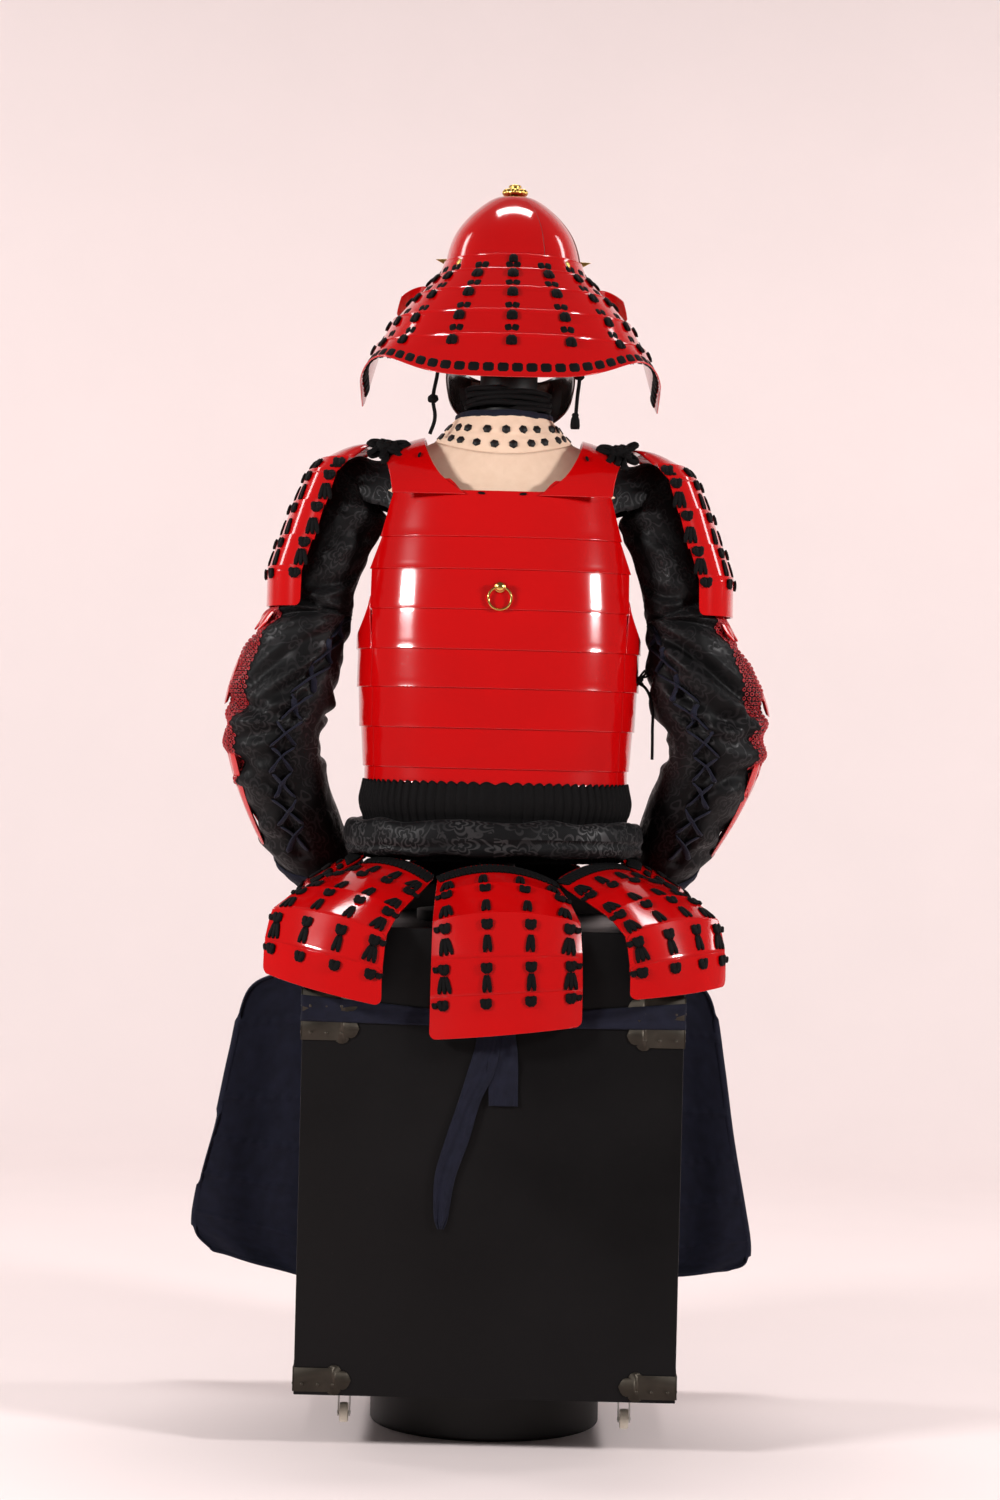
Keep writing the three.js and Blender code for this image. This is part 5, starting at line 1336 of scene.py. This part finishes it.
navy_cloth = woven("navy_cloth", NAVY, (0.0078, 0.0085, 0.021, 1), 0.8, 0.0011, sheen_weight=0.04,
                   specular_ior_level=0.2)
navy_cord = woven("navy_cord", (0.004, 0.0045, 0.014, 1), (0.009, 0.010, 0.026, 1), 0.75, 0.0018,
                  sheen_weight=0.04, specular_ior_level=0.25)


def cord_run(bm, route, thickness, sides=8, flat=1.0, steps=6, closed_ends=True):
    """A cord swept along a smooth route, round or flat, drawn to a point at each end."""
    count = (len(route) - 1) * steps
    spots = [along(route, k / count) for k in range(count + 1)]
    up = Vector((0, 0, 1))
    frames = []
    for k, spot in enumerate(spots):
        run = (spots[min(k + 1, count)] - spots[max(k - 1, 0)]).normalized()
        side = run.cross(up)
        if side.length < 0.2:
            side = run.cross(Vector((0, 1, 0)))
        side.normalize()
        if frames and side.dot(frames[-1][0]) < 0:
            side = -side
        frames.append((side, side.cross(run).normalized()))

    def place(u, v):
        k = round(u * count)
        side, rise = frames[k]
        turn = v * 2 * math.pi
        radius = thickness / 2 * (0.02 if closed_ends and k in (0, count) else 1)
        return spots[k] + side * (math.cos(turn) * radius) + rise * (math.sin(turn) * radius * flat)

    verts = sheet_of_points(bm, count, sides, place)
    bmesh.ops.remove_doubles(bm, verts=verts, dist=6e-5)
    alive = [vert for vert in verts if vert.is_valid]
    bmesh.ops.recalc_face_normals(bm, faces=list({face for vert in alive for face in vert.link_faces}))


CROSSINGS = 9
for name, side in SIDES:
    bm = new_mesh()
    closed_cloth(bm, 128, 256, lambda u, v: sleeve_place(name, u, v), (0.36, 0.60),
                 lambda p: Vector((side * 0.26, -0.005 if p.z > 0.85 else 0.09, p.z)))
    sleeve = keep(walled(mesh_object(f"brocade_sleeve_{name}", bm, sleeve_brocade), 0.0016),
                  [f"sleeve_{name}_upper", f"sleeve_{name}_lower"])
    ties = new_mesh()
    rows = [mix(LACED[0][1] + 0.01, LACED[-1][1] - 0.01, k / CROSSINGS) for k in range(CROSSINGS + 1)]
    for k, (v, after) in enumerate(zip(rows, rows[1:])):
        for turn in (-1, 1):
            route = []
            for step in range(7):
                t = step / 6
                wander = 0.006 * math.sin(k * 2.1 + t * 4 + turn)
                u = seam_at(mix(v, after, t)) + turn * mix(-0.042, 0.042, t) + wander
                spot = sleeve_place(name, u, mix(v, after, t), 0.0)
                away = Vector((0, -1, -0.2 if v > 0.7 else 0.2)).normalized()
                arch = (0.0036 if turn > 0 else 0.0016) * math.sin(math.pi * t) + 0.0008
                route.append(spot + away * (arch + 0.0035 * math.sin(math.pi * t)))
            cord_run(ties, route, 0.0088, 8, 0.34, 2)
    keep(mesh_object(f"sleeve_lacing_{name}", ties, navy_cord))

# Shoulder flaps: the top of each sleeve runs on as an arched flap of the same brocade, under the shoulder
# guard's cap plate to the cuirass's strap.
FLAP = {"left": (0.238, 0.140), "right": (0.230, 0.130)}
for name, side in SIDES:
    bm = new_mesh()

    def flap_place(u, v):
        top, low = 1.258 + 0.012 * math.sin(math.pi * v), mix(1.252, 1.184, v)
        low += 0.006 * math.sin(v * 9)
        swing = math.pi * u
        fold = 0.0022 * math.sin(v * 15 + u * 3) * math.sin(math.pi * u)
        return Vector((side * mix(*FLAP[name], v), -(mix(0.034, 0.066, v) + fold) * math.cos(swing),
                       low + (top - low) * math.sin(swing) ** 0.8 + fold))

    verts = sheet_of_points(bm, 48, 30, flap_place)
    scale_uv(bm, 0.17, 0.11)
    face_out(bm, verts, lambda p: Vector((side * 0.19, 0, 1.16)))
    flap = keep(walled(mesh_object(f"sleeve_shoulder_flap_{name}", bm, sleeve_brocade), 0.0016))

# Wrist cloth: navy cotton gathered round the end of each sleeve and tied, so its folds fan out.
for name, side in SIDES:
    bm = new_mesh()

    def wrist_place(u, v):
        fold = abs(math.sin(u * 13 * math.pi + 2.2 * math.sin(u * 4 * math.pi) + 0.8 * v)) ** 0.6
        swell = 0.0022 + 0.0034 * fold * math.sin(math.pi * min(max(v * 1.1, 0), 1)) ** 0.6
        swell += 0.0022 * swelling(v, 0.12, 0.09)
        return sleeve_place(name, u, mix(0.885, 0.995, v), swell, False)

    closed_cloth(bm, 240, 22, wrist_place, (0.30, 0.07), lambda p: Vector((side * 0.235, 0.08, 0.735)))
    cuff = keep(walled(mesh_object(f"wrist_cloth_{name}", bm, navy_cloth), 0.0012))

# Mail and splints: small red rings sewn over the outside of each sleeve, with red plates set among them:
# a long splint on the upper arm, a round lobed plate at the elbow and three splints on the forearm.
MAIL_TONES = [(0.46, 0.008, 0.014, 1), (0.36, 0.006, 0.012, 1), (0.2, 0.006, 0.01, 1)]
mail_red = hand_finished("red_mail", MAIL_TONES, (0.25, 0.4), 60.0, 0.0003, coat_weight=0.3)
ring_mesh = new_mesh()
section = bmesh.ops.create_circle(ring_mesh, segments=4, radius=0.0007)["verts"]
bmesh.ops.rotate(ring_mesh, verts=section, cent=(0, 0, 0), matrix=Matrix.Rotation(math.pi / 2, 3, "X"))
bmesh.ops.translate(ring_mesh, verts=section, vec=(0.0022, 0, 0))
bmesh.ops.spin(ring_mesh, geom=ring_mesh.verts[:] + ring_mesh.edges[:], cent=(0, 0, 0), axis=(0, 0, 1),
               angle=2 * math.pi, steps=8, use_merge=True)
bmesh.ops.recalc_face_normals(ring_mesh, faces=ring_mesh.faces)
MAIL_RING = pattern_mesh("mail_ring", ring_mesh)
SLEEVE_SIZE = {"round": 0.33, "long": 0.6}
MAIL_PITCH = 0.0046
# Fields of rings: where each starts and ends along the sleeve, and how far round it reaches
MAIL_FIELDS = [(0.20, 0.265, 0.10), (0.265, 0.66, 0.13), (0.66, 0.72, 0.10)]
# Splints: where each lies round the sleeve and along it, its half width and half length
SPLINTS = [(-0.012, 0.315, 0.012, 0.060), (0.05, 0.33, 0.010, 0.052), (-0.075, 0.33, 0.010, 0.052),
           (-0.01, 0.73, 0.010, 0.070), (0.055, 0.74, 0.010, 0.062), (-0.075, 0.74, 0.010, 0.062)]
ELBOW = (0.0, 0.51)


def on_sleeve(name, side, u, v, off):
    """Place and directions on the sleeve's outside, its outward direction away from the arm."""
    def at(a, b):
        return sleeve_place(name, a % 1, b, off)

    here = at(u, v)
    across = (at(u + 0.01, v) - at(u - 0.01, v)).normalized()
    down = (at(u, v + 0.005) - at(u, v - 0.005)).normalized()
    out = across.cross(down).normalized()
    if out.x * side < 0:
        out = -out
    return here, across, out.cross(across).normalized(), out


def bent_plate(bm, name, side, u0, v0, half_wide, half_long, outline, lift=0.0032):
    """A small red plate that follows the sleeve, its outline given as half width at t from -1 to 1."""
    here, across, down, out = on_sleeve(name, side, u0, v0, lift)

    def place(a, b):
        t = 2 * b - 1
        w = (2 * a - 1) * outline(t)
        crown = 0.0016 * (1 - (2 * a - 1) ** 2)
        u, v = u0 + w * half_wide / SLEEVE_SIZE["round"], v0 + t * half_long / SLEEVE_SIZE["long"]
        return sleeve_place(name, u % 1, min(v, 0.98), lift, False) + out * (crown + 0.0004)

    verts = sheet_of_points(bm, 6, 20, place)
    face_out(bm, verts, lambda p: p - out)


for name, side in SIDES:
    bm = new_mesh()
    for low, high, half_turn in MAIL_FIELDS:
        rows = round((high - low) * SLEEVE_SIZE["long"] / MAIL_PITCH)
        for r in range(rows):
            v = mix(low, high, (r + 0.5) / rows)
            reach = half_turn * math.sqrt(max(1 - (2 * (r + 0.5) / rows - 1) ** 2 * 0.25, 0))
            across_count = round(2 * reach * SLEEVE_SIZE["round"] / MAIL_PITCH)
            for c in range(across_count):
                u = -reach + 2 * reach * (c + 0.5 + 0.25 * (-1) ** r) / across_count
                here, across, down, out = on_sleeve(name, side, u, v, 0.0018)
                turn = Matrix((across, out.cross(across), out)).transposed().to_4x4()
                tilt = Matrix.Rotation(0.35 * (-1) ** c, 4, "Y")
                set_in(bm, MAIL_RING, Matrix.Translation(here) @ turn @ tilt)
    keep(mesh_object(f"sleeve_mail_{name}", bm, mail_red))
    bm = new_mesh()
    for u, v, half_wide, half_long in SPLINTS:
        bent_plate(bm, name, side, u, v, half_wide, half_long,
                   lambda t: (1 - abs(t) ** 6) ** 0.5 * 0.98 + 0.02)
    for t in (-1, 0, 1):
        bent_plate(bm, name, side, ELBOW[0], ELBOW[1] + t * 0.021, 0.016 if t == 0 else 0.012, 0.012,
                   lambda t: math.sqrt(max(1 - t * t, 0)) * 0.98 + 0.02, 0.0046)
    lacquered(f"sleeve_splints_{name}", bm, 0.0012, 0.0004, 2)

# Shoulder yoke and collar: cream cotton, quilted at the collar, which carries two rows of small black
# six-sided plates sewn on and a navy binding along its top.
# Rows of the yoke and the collar: half width, depth behind and in front, height behind and at the sides
YOKE = [(0.092, 0.074, 0.070, 1.274, 1.292), (0.126, 0.088, 0.082, 1.244, 1.277),
        (0.152, 0.094, 0.086, 1.219, 1.262), (0.184, 0.097, 0.088, 1.192, 1.240)]
COLLAR = [(0.062, 0.056, 0.052, 1.330, 1.326), (0.074, 0.064, 0.060, 1.304, 1.310),
          (0.0917, 0.0737, 0.0697, 1.2743, 1.2923)]
cotton = woven("cream_cotton", (0.92, 0.68, 0.51, 1), (0.86, 0.62, 0.45, 1), 0.85, 0.0009, 0.0002,
               specular_ior_level=0.2)


def neck_ring(rows, u, v, off=0.0):
    half, back, front, z_back, z_side = row_at(rows, v)
    c = math.cos(u * 2 * math.pi)
    depth = back if c > 0 else front
    return oval(u * 2 * math.pi, half + off, depth + off, mix(z_side, z_back, c * c), 2.1, BODY_X)


def yoke_place(u, v):
    point = Vector((math.cos(u * 2 * math.pi), math.sin(u * 2 * math.pi), v)) * 3
    drape = 0.0012 * noise.noise(point)
    drape += 0.0010 * v * math.sin(u * 18 * math.pi + 2 * math.sin(u * 4 * math.pi))
    spot = neck_ring(YOKE, u, v)
    return spot + Vector((0, 0, drape * min(1, v * 4) - 0.0012 * min(1, v * 4)))


def collar_place(u, v, off=0.0):
    point = Vector((math.cos(u * 2 * math.pi) * 2, math.sin(u * 2 * math.pi) * 2, v * 2))
    bulk = 0.0016 * math.sin(math.pi * v) + 0.0014 * noise.noise(point * 2) + 0.0006 * noise.noise(point * 7)
    bulk -= 0.0012 * swelling(v, 0.56 + 0.03 * math.sin(u * 10 * math.pi), 0.035)
    edge = min(1, (1 - v) * 8)
    return neck_ring(COLLAR, u, v, off + bulk * edge)


bm = new_mesh()
closed_cloth(bm, 160, 24, yoke_place, (0.86, 0.11), lambda p: Vector((BODY_X, 0, 1.1)))
yoke = keep(walled(mesh_object("shoulder_yoke_cloth", bm, cotton), 0.002), ["shoulder_yoke"])
bm = new_mesh()
closed_cloth(bm, 160, 24, collar_place, (0.48, 0.06), lambda p: Vector((BODY_X, 0, p.z - 0.02)))
collar = keep(walled(mesh_object("quilted_collar", bm, cotton), 0.0028), ["collar"])
bm = new_mesh()


def trim_place(u, v):
    turn = v * 2 * math.pi
    spot = collar_place(u, 0.04, 0.0)
    out = Vector((spot.x - BODY_X, spot.y, 0)).normalized()
    wobble = 0.0006 * math.sin(u * 12 * math.pi)
    return (spot + out * (0.0030 * math.cos(turn) - 0.001)
            + Vector((0, 0, 0.0055 * math.sin(turn) + wobble)))


verts = sheet_of_points(bm, 160, 10, trim_place)
scale_uv(bm, 0.42, 0.02)
bmesh.ops.remove_doubles(bm, verts=verts, dist=1e-5)
bmesh.ops.recalc_face_normals(bm, faces=bm.faces)
keep(mesh_object("collar_binding", bm, navy_cloth))
plate = new_mesh()
bmesh.ops.create_cone(plate, cap_ends=True, segments=6, radius1=0.0062, radius2=0.0052, depth=0.0018)
COLLAR_PLATE = pattern_mesh("collar_plate", plate)
LEATHER_TONES = [(0.005, 0.0045, 0.0045, 1), (0.008, 0.007, 0.007, 1), (0.02, 0.017, 0.016, 1)]
black_leather = hand_finished("black_leather", LEATHER_TONES, (0.5, 0.65), 80.0, 0.0004,
                              specular_ior_level=0.3)
bm = new_mesh()
COLLAR_ROWS = ((0.46, 20, 0.0), (0.80, 23, 0.5))
for v, count, shift in COLLAR_ROWS:
    for k in range(count):
        u = ((k + shift + 0.12 * math.sin(k * 2.7)) / count) % 1
        if min(u, 1 - u) > 0.30:
            continue
        here, across, down, out = directions(collar_place, min(max(u, 0.005), 0.995), v)
        if out.dot(here - Vector((BODY_X, 0, 1.28))) < 0:
            out = -out
        turn = Matrix((across, out.cross(across), out)).transposed().to_4x4()
        seat = Matrix.Translation(here + out * 0.0009)
        set_in(bm, COLLAR_PLATE, seat @ turn @ Matrix.Rotation(0.3 * k, 4, "Z"))
keep(mesh_object("collar_plates", bm, black_leather))

# Neck cords: a long black cord wound round the post in slack turns above the collar, in two layers.
bm = new_mesh()
NECK_LAYERS = ((0.0535, 4, 1.3355), (0.0455, 3, 1.339))
for radius, turns, start in NECK_LAYERS:
    route = []
    for k in range(turns * 16 + 1):
        angle = k * math.pi / 8
        r = radius + 0.0016 * math.sin(k * 1.7)
        z = start + 0.0070 * k / 16 + 0.0012 * math.sin(k * 1.1 + radius * 900)
        route.append(Vector((r * math.sin(angle), -r * math.cos(angle), z)))
    cord_run(bm, route, 0.0074, 8, 1.0, 2)
keep(mesh_object("wound_neck_cords", bm, silk_cord), ["neck_cords"])

# Face mask: a half mask of iron under brown-black lacquer, calm and plain, with a throat guard of three
# red lames laced below it. Its inside has the same brown-black lacquer.
# The mask's rows: height, half width, how far forward, and its swing in degrees to each side
MASK = [(1.392, 0.084, 0.104, 88), (1.372, 0.084, 0.116, 92), (1.350, 0.080, 0.118, 92),
        (1.332, 0.072, 0.114, 66), (1.318, 0.058, 0.104, 46)]
MASK_TONES = [(0.016, 0.006, 0.005, 1), (0.024, 0.009, 0.007, 1), (0.05, 0.02, 0.014, 1)]
mask_lacquer = hand_finished("mask_lacquer", MASK_TONES, (0.2, 0.32), 22.0, 0.0006, coat_weight=0.5,
                             coat_roughness=0.1)


def mask_place(u, v):
    z, half, front, swing = row_at(MASK, v)
    a = 2 * u - 1
    nose = 0.0105 * swelling(a, 0, 0.075) * swelling(v, 0.22, 0.20)
    cheeks = 0.0035 * swelling(abs(a), 0.42, 0.16) * swelling(v, 0.30, 0.22)
    mouth = -0.0026 * swelling(v, 0.56, 0.035) * swelling(a, 0, 0.22)
    lips = 0.0022 * (swelling(v, 0.48, 0.035) + swelling(v, 0.65, 0.04)) * swelling(a, 0, 0.18)
    chin = 0.004 * swelling(v, 0.85, 0.11) * swelling(a, 0, 0.16)
    rim = 0.0016 * max(1 - v / 0.04, 0) + 0.0016 * max(1 - (1 - abs(a)) / 0.03, 0)
    off = nose + cheeks + mouth + lips + chin + rim
    angle = math.pi + a * math.radians(swing)
    dip = -0.006 * swelling(abs(a), 0.30, 0.16) * (1 - v) ** 3
    return oval(angle, half + off, front + off, z + dip, 2, HELMET_X)


bm = new_mesh()
verts = sheet_of_points(bm, 110, 50, mask_place)
face_out(bm, verts, lambda p: Vector((HELMET_X, 0, p.z)))
half_mask = rounded(walled(mesh_object("half_mask", bm, mask_lacquer), 0.0022), 0.0008, 2)
keep(half_mask, ["face_mask"])
THROAT = [(1.3174, 0.056, 0.105), (1.288, 0.074, 0.114), (1.258, 0.088, 0.122)]
THROAT_SWING = 54.2
bm = new_mesh()
ties = new_mesh()
for k in range(3):
    def throat_place(u, v):
        t = (k + v * (1.12 if k < 2 else 1.0)) / 3
        z, half, front = row_at(THROAT, min(t, 1))
        step = 0.0008 * k - 0.0012 * (1 - v) * (1 if k else 0) + 0.0006 * max((v - 0.88) / 0.12, 0)
        angle = math.pi + (2 * u - 1) * math.radians(THROAT_SWING)
        return oval(angle, half + step, front + step, z, 2, HELMET_X)

    verts = sheet_of_points(bm, 60, 10, throat_place)
    face_out(bm, verts, lambda p: Vector((HELMET_X, 0, p.z - 0.03)))
    for at in (0.08, 0.28, 0.5, 0.72, 0.92):
        here, across, down, out = directions(throat_place, at, 0.45, Vector((0, 1, 0)))
        cross_knot(ties, here, across, down, out, 0.85)
lacquered("throat_lames", bm, 0.002, 0.0007, 2, ["throat_guard"])
keep(mesh_object("throat_knots", ties, silk_cord))

# Hand guards: domed red plates for the backs of the hands, each with a navy cotton edge.
HAND = {"y": 0.134, "length": 0.092, "z": 0.6854, "drop": 0.010, "half": 0.036, "rise": 0.017,
        "skirt": 0.014}
for name, centre, inward in (("left", -0.218, 0.026), ("right", 0.198, -0.026)):
    def hand_place(u, v, off=0.0):
        angle = math.pi * u
        taper = math.sqrt(1 - (0.86 * v) ** 2)
        half, rise = HAND["half"] * taper + off, HAND["rise"] * (0.4 + 0.6 * taper) + off
        ridge = 0.0016 * swelling(u, 0.5, 0.05) * math.sin(math.pi * v)
        groove = -0.0012 * sum(swelling(v, line, 0.012) for line in (0.3, 0.55, 0.78))
        z = HAND["z"] - HAND["drop"] * v - HAND["skirt"]
        x = centre + inward * v - math.cos(angle) * (half + groove)
        return Vector((x, HAND["y"] + HAND["length"] * v,
                       z + math.sin(angle) * (rise + ridge + groove + HAND["skirt"])))

    bm = new_mesh()
    verts = sheet_of_points(bm, 40, 44, hand_place)
    face_out(bm, verts, lambda p: Vector((centre, p.y - 0.02, HAND["z"] - 0.05)))
    lacquered(f"hand_plate_{name}", bm, 0.002, 0.0007, 2, [f"hand_guard_{name}"])
    bm = new_mesh()
    edge_route = [hand_place(0.03, v / 10, 0.0006) for v in range(11)]
    edge_route += [hand_place(0.03 + 0.94 * k / 10, 0.985, 0.0006) for k in range(1, 10)]
    edge_route += [hand_place(0.97, 1 - v / 10, 0.0006) for v in range(11)]
    cord_run(bm, edge_route, 0.0028, 8, 1.0, 3)
    keep(mesh_object(f"hand_plate_edge_{name}", bm, navy_cloth))

# Thigh apron: a navy cotton band tied round the chest's lid, with two quilted panels that hang in front
# of it and show at both sides. Each is bound along its edges and stitched through in five seams.
# The ends of the band's tie hang down the rear face from under the rear tasset.
BAND = {"high": 0.574, "low": 0.541, "drop_rear": 0.014, "thick": 0.002}
CHEST_X, CHEST_Y = lid_high[0] + 0.0004, lid_high[1] + 0.0004


def band_place(u, v):
    """Round the chest from the middle of its rear face, v from the band's top to its lower edge."""
    half_x, half_y = CHEST_X + BAND["thick"], CHEST_Y + BAND["thick"]
    way = (u % 1) * 4 * (half_x + half_y)
    legs = [(half_x, Vector((0, -half_y, 0)), Vector((1, 0, 0))),
            (2 * half_y, Vector((half_x, -half_y, 0)), Vector((0, 1, 0))),
            (2 * half_x, Vector((half_x, half_y, 0)), Vector((-1, 0, 0))),
            (2 * half_y, Vector((-half_x, half_y, 0)), Vector((0, -1, 0))),
            (half_x, Vector((-half_x, -half_y, 0)), Vector((1, 0, 0)))]
    spot = legs[-1][1] + legs[-1][2] * half_x
    for length, start, run in legs:
        if way <= length:
            spot = start + run * way
            break
        way -= length
    rear = max(min((CHEST_X - abs(spot.x)) / 0.16, 1), 0) if spot.y < -half_y + 0.001 else 0
    top = BAND["high"] - rear * BAND["drop_rear"]
    low = BAND["low"] - rear * 0.002
    crease = 0.0007 * math.sin(v * 9 + u * 50) + 0.0005 * math.sin(u * 170 + v * 3)
    out = Vector((spot.x / half_x if abs(spot.x) > half_x - 0.001 else 0,
                  spot.y / half_y if abs(spot.y) > half_y - 0.001 else 0, 0))
    return spot + out * crease * math.sin(math.pi * v) + Vector((0, 0, mix(top, low, v)))


bm = new_mesh()
closed_cloth(bm, 420, 10, band_place, (1.85, 0.033), lambda p: Vector((0, 0, p.z)))
apron_band = keep(walled(mesh_object("apron_waistband", bm, navy_cloth), 0.0015),
                  ["apron_band"])

# Each panel's rows from the band down: its inner edge's x and height, its outer edge's x and height
PANELS = {
    "left": [(-0.022, 0.575, -0.300, 0.570), (-0.027, 0.545, -0.345, 0.541), (-0.046, 0.450, -0.366, 0.452),
             (-0.066, 0.345, -0.384, 0.358), (-0.084, 0.240, -0.403, 0.282), (-0.096, 0.160, -0.412, 0.226),
             (-0.102, 0.118, -0.407, 0.200), (-0.106, 0.104, -0.384, 0.178)],
    "right": [(0.022, 0.575, 0.284, 0.570), (0.025, 0.545, 0.306, 0.538), (0.040, 0.450, 0.322, 0.448),
              (0.054, 0.345, 0.337, 0.350), (0.066, 0.240, 0.354, 0.262), (0.074, 0.170, 0.364, 0.205),
              (0.078, 0.146, 0.360, 0.178), (0.080, 0.134, 0.336, 0.168)],
}
PANEL_Y = CHEST_Y + BAND["thick"] + 0.0004
QUILT_SEAMS = [0.215, 0.365, 0.465, 0.565, 0.70]
BINDING = 0.010


def panel_place(side_name, u, v, lift=0.0, quilted=True):
    in_x, in_z, out_x, out_z = row_at(PANELS[side_name], v)
    i = v * 7
    hang = min(1, i / 3)
    sway = 0.005 * math.sin(u * 9 + i * 0.5) * hang + 0.005 * hang
    sway += 0.0026 * math.sin(u * 21 + i * 0.9 + 1) * hang + 0.0016 * noise.noise(Vector((u * 9, i * 1.7, 4)))
    seam = sum(swelling(v, at + 0.008 * math.sin(u * 5 + at * 9), 0.0065) for at in QUILT_SEAMS)
    puff = (-0.0046 * seam + 0.0010 * math.sin(u * 120) * min(seam * 1.4, 1)) if quilted else 0.0
    return Vector((mix(in_x, out_x, u), PANEL_Y + sway + 0.0014 + puff * 0.5 + lift, mix(in_z, out_z, u)))


for name in ("left", "right"):
    bm = new_mesh()
    verts = sheet_of_points(bm, 110, 170, lambda u, v: panel_place(name, u, v))
    scale_uv(bm, 0.32, 0.46)
    face_out(bm, verts, lambda p: p - Vector((0, 1, 0)))
    cloth = walled(mesh_object(f"apron_panel_cloth_{name}", bm, navy_cloth), 0.0026, offset=0)
    panel = keep(cloth, [f"apron_panel_{name}"])
    bm = new_mesh()
    border = [panel_place(name, 0.004, v / 30, 0, False) for v in range(31)]
    border += [panel_place(name, u / 16, 0.992, 0, False) for u in range(1, 16)]
    border += [panel_place(name, 0.996, 1 - v / 30, 0, False) for v in range(31)]
    cord_run(bm, border, BINDING, 10, 0.42, 2)
    edge = keep(mesh_object(f"apron_binding_{name}", bm, navy_cord))

# The tie ends' rows: height, x and half width
TIE_LONG = [(0.560, -0.008, 0.014), (0.520, -0.006, 0.015), (0.482, -0.014, 0.017), (0.444, -0.028, 0.014),
            (0.396, -0.042, 0.015), (0.348, -0.056, 0.013), (0.300, -0.060, 0.009), (0.284, -0.060, 0.003)]
TIE_SHORT = [(0.560, 0.010, 0.014), (0.500, 0.013, 0.019), (0.440, 0.015, 0.018)]
TIE_Y = -CHEST_Y - BAND["thick"] - 0.0004
TIES = [("long", TIE_LONG, TIE_Y - 0.0014, (0.029, 0.30)), ("short", TIE_SHORT, TIE_Y, (0.036, 0.125))]
for name, table, y, cut in TIES:
    bm = new_mesh()

    def tie_place(u, v):
        z, x, half = row_at(table, v)
        fold = 0.0011 * math.cos((u - 0.42) * 9 + v * 5) + 0.0006 * math.sin(u * 19 + v * 14)
        return Vector((x + (2 * u - 1) * half, y - 0.0012 - fold * min(1, v * 6), z))

    verts = sheet_of_points(bm, 20, 90, tie_place)
    scale_uv(bm, *cut)
    face_out(bm, verts, lambda p: p + Vector((0, 1, 0)))
    tie = keep(walled(mesh_object(f"apron_tie_{name}", bm, navy_cloth), 0.0011))

# Knots and bows: each chin cord is knotted and the right one ends in a tassel. The shoulder straps' cords
# are tied in bows over the armholes, and the cuirass's closing cord in a bow at the right side.
def ball_knot(bm, place, size):
    """A round knot: three short turns of cord at different tilts, packed together."""
    for k in range(3):
        turn = Matrix.Rotation(k * 1.05, 3, "Z") @ Matrix.Rotation(0.9 - 0.7 * k, 3, "X")
        ring = []
        for step in range(11):
            angle = step * math.pi / 5
            spot = Vector((0.42 * math.cos(angle), 0.42 * math.sin(angle), 0.12 * (step % 2)))
            ring.append(place + turn @ (spot * size))
        cord_run(bm, ring, size * 0.5, 8, 1.0, 2)


def tassel(bm, place, length, width):
    profile = [(0.0, 0.001), (0.3, 0.0), (0.42, -0.12), (0.36, -0.2), (0.5, -0.4), (0.56, -0.8),
               (0.5, -0.99), (0.0, -1.0)]
    piece = new_mesh()
    turned_piece(piece, [(r * width, z * length) for r, z in profile], steps=24)
    for vert in piece.verts:
        angle = math.atan2(vert.co.y, vert.co.x)
        grow = 1 + 0.10 * math.sin(angle * 12)
        vert.co.x *= grow
        vert.co.y *= grow
    set_in(bm, pattern_mesh("tassel", piece), Matrix.Translation(place))


bm = new_mesh()
ball_knot(bm, Vector(CHIN_LEFT[3]), 0.011)
ball_knot(bm, Vector(CHIN_RIGHT[2]), 0.010)
tassel(bm, Vector((CHIN_RIGHT[4][0], CHIN_RIGHT[4][1], 1.331)), 0.021, 0.0115)
keep(mesh_object("chin_cord_knots", bm, silk_cord))


BOW_LOOP = [(0, 0, 0.12), (0.45, -0.32, 0.22), (1.0, -0.22, 0.16), (1.12, 0.12, 0.10), (0.7, 0.24, 0.16),
            (0, 0.02, 0.2)]
BOW_END = [(0, 0, 0.1), (0.3, 0.4, 0.16), (0.42, 0.9, 0.1), (0.62, 1.3, 0.06)]


def bow(bm, centre, out, across, size, thickness, tilt=0.0):
    """A soft bow: two loops, two ends and a knot, lying against what carries it."""
    down = across.cross(out).normalized()
    if down.z > 0:
        down = -down

    def at(x, y, lift):
        return centre + across * (x * size) + down * ((y + tilt * x) * size) + out * (lift * size)

    for side in (-1, 1):
        for route in (BOW_LOOP, BOW_END):
            cord_run(bm, [at(side * x, y, lift) for x, y, lift in route], thickness, 8, 0.8, 5)
    ball_knot(bm, at(0, 0, 0.2), thickness * 1.9)


for name, side in SIDES:
    bm = new_mesh()
    out = Vector((side * 0.15, -0.55, 0.8)).normalized()
    centre = strap_place(side, 1, 0.42) + Vector((side * -0.006, -0.004, 0.006))
    beside = centre + Vector((side * 0.007, -0.006, 0.003))
    bow(bm, centre, out, Vector((1, 0.1, -0.25 * side)).normalized(), 0.022, 0.0102, 0.1 * side)
    bow(bm, beside, out, Vector((0.8, -0.3, 0.4 * side)).normalized(), 0.017, 0.0088, -0.2)
    keep(mesh_object(f"shoulder_bow_{name}", bm, silk_cord))
bm = new_mesh()
bow(bm, Vector((0.1795, -0.036, 0.984)), Vector((0.8, -0.6, 0)).normalized(),
    Vector((0.5, -0.35, 0.75)).normalized(), 0.014, 0.0038)
keep(mesh_object("side_tie_bow", bm, silk_cord))
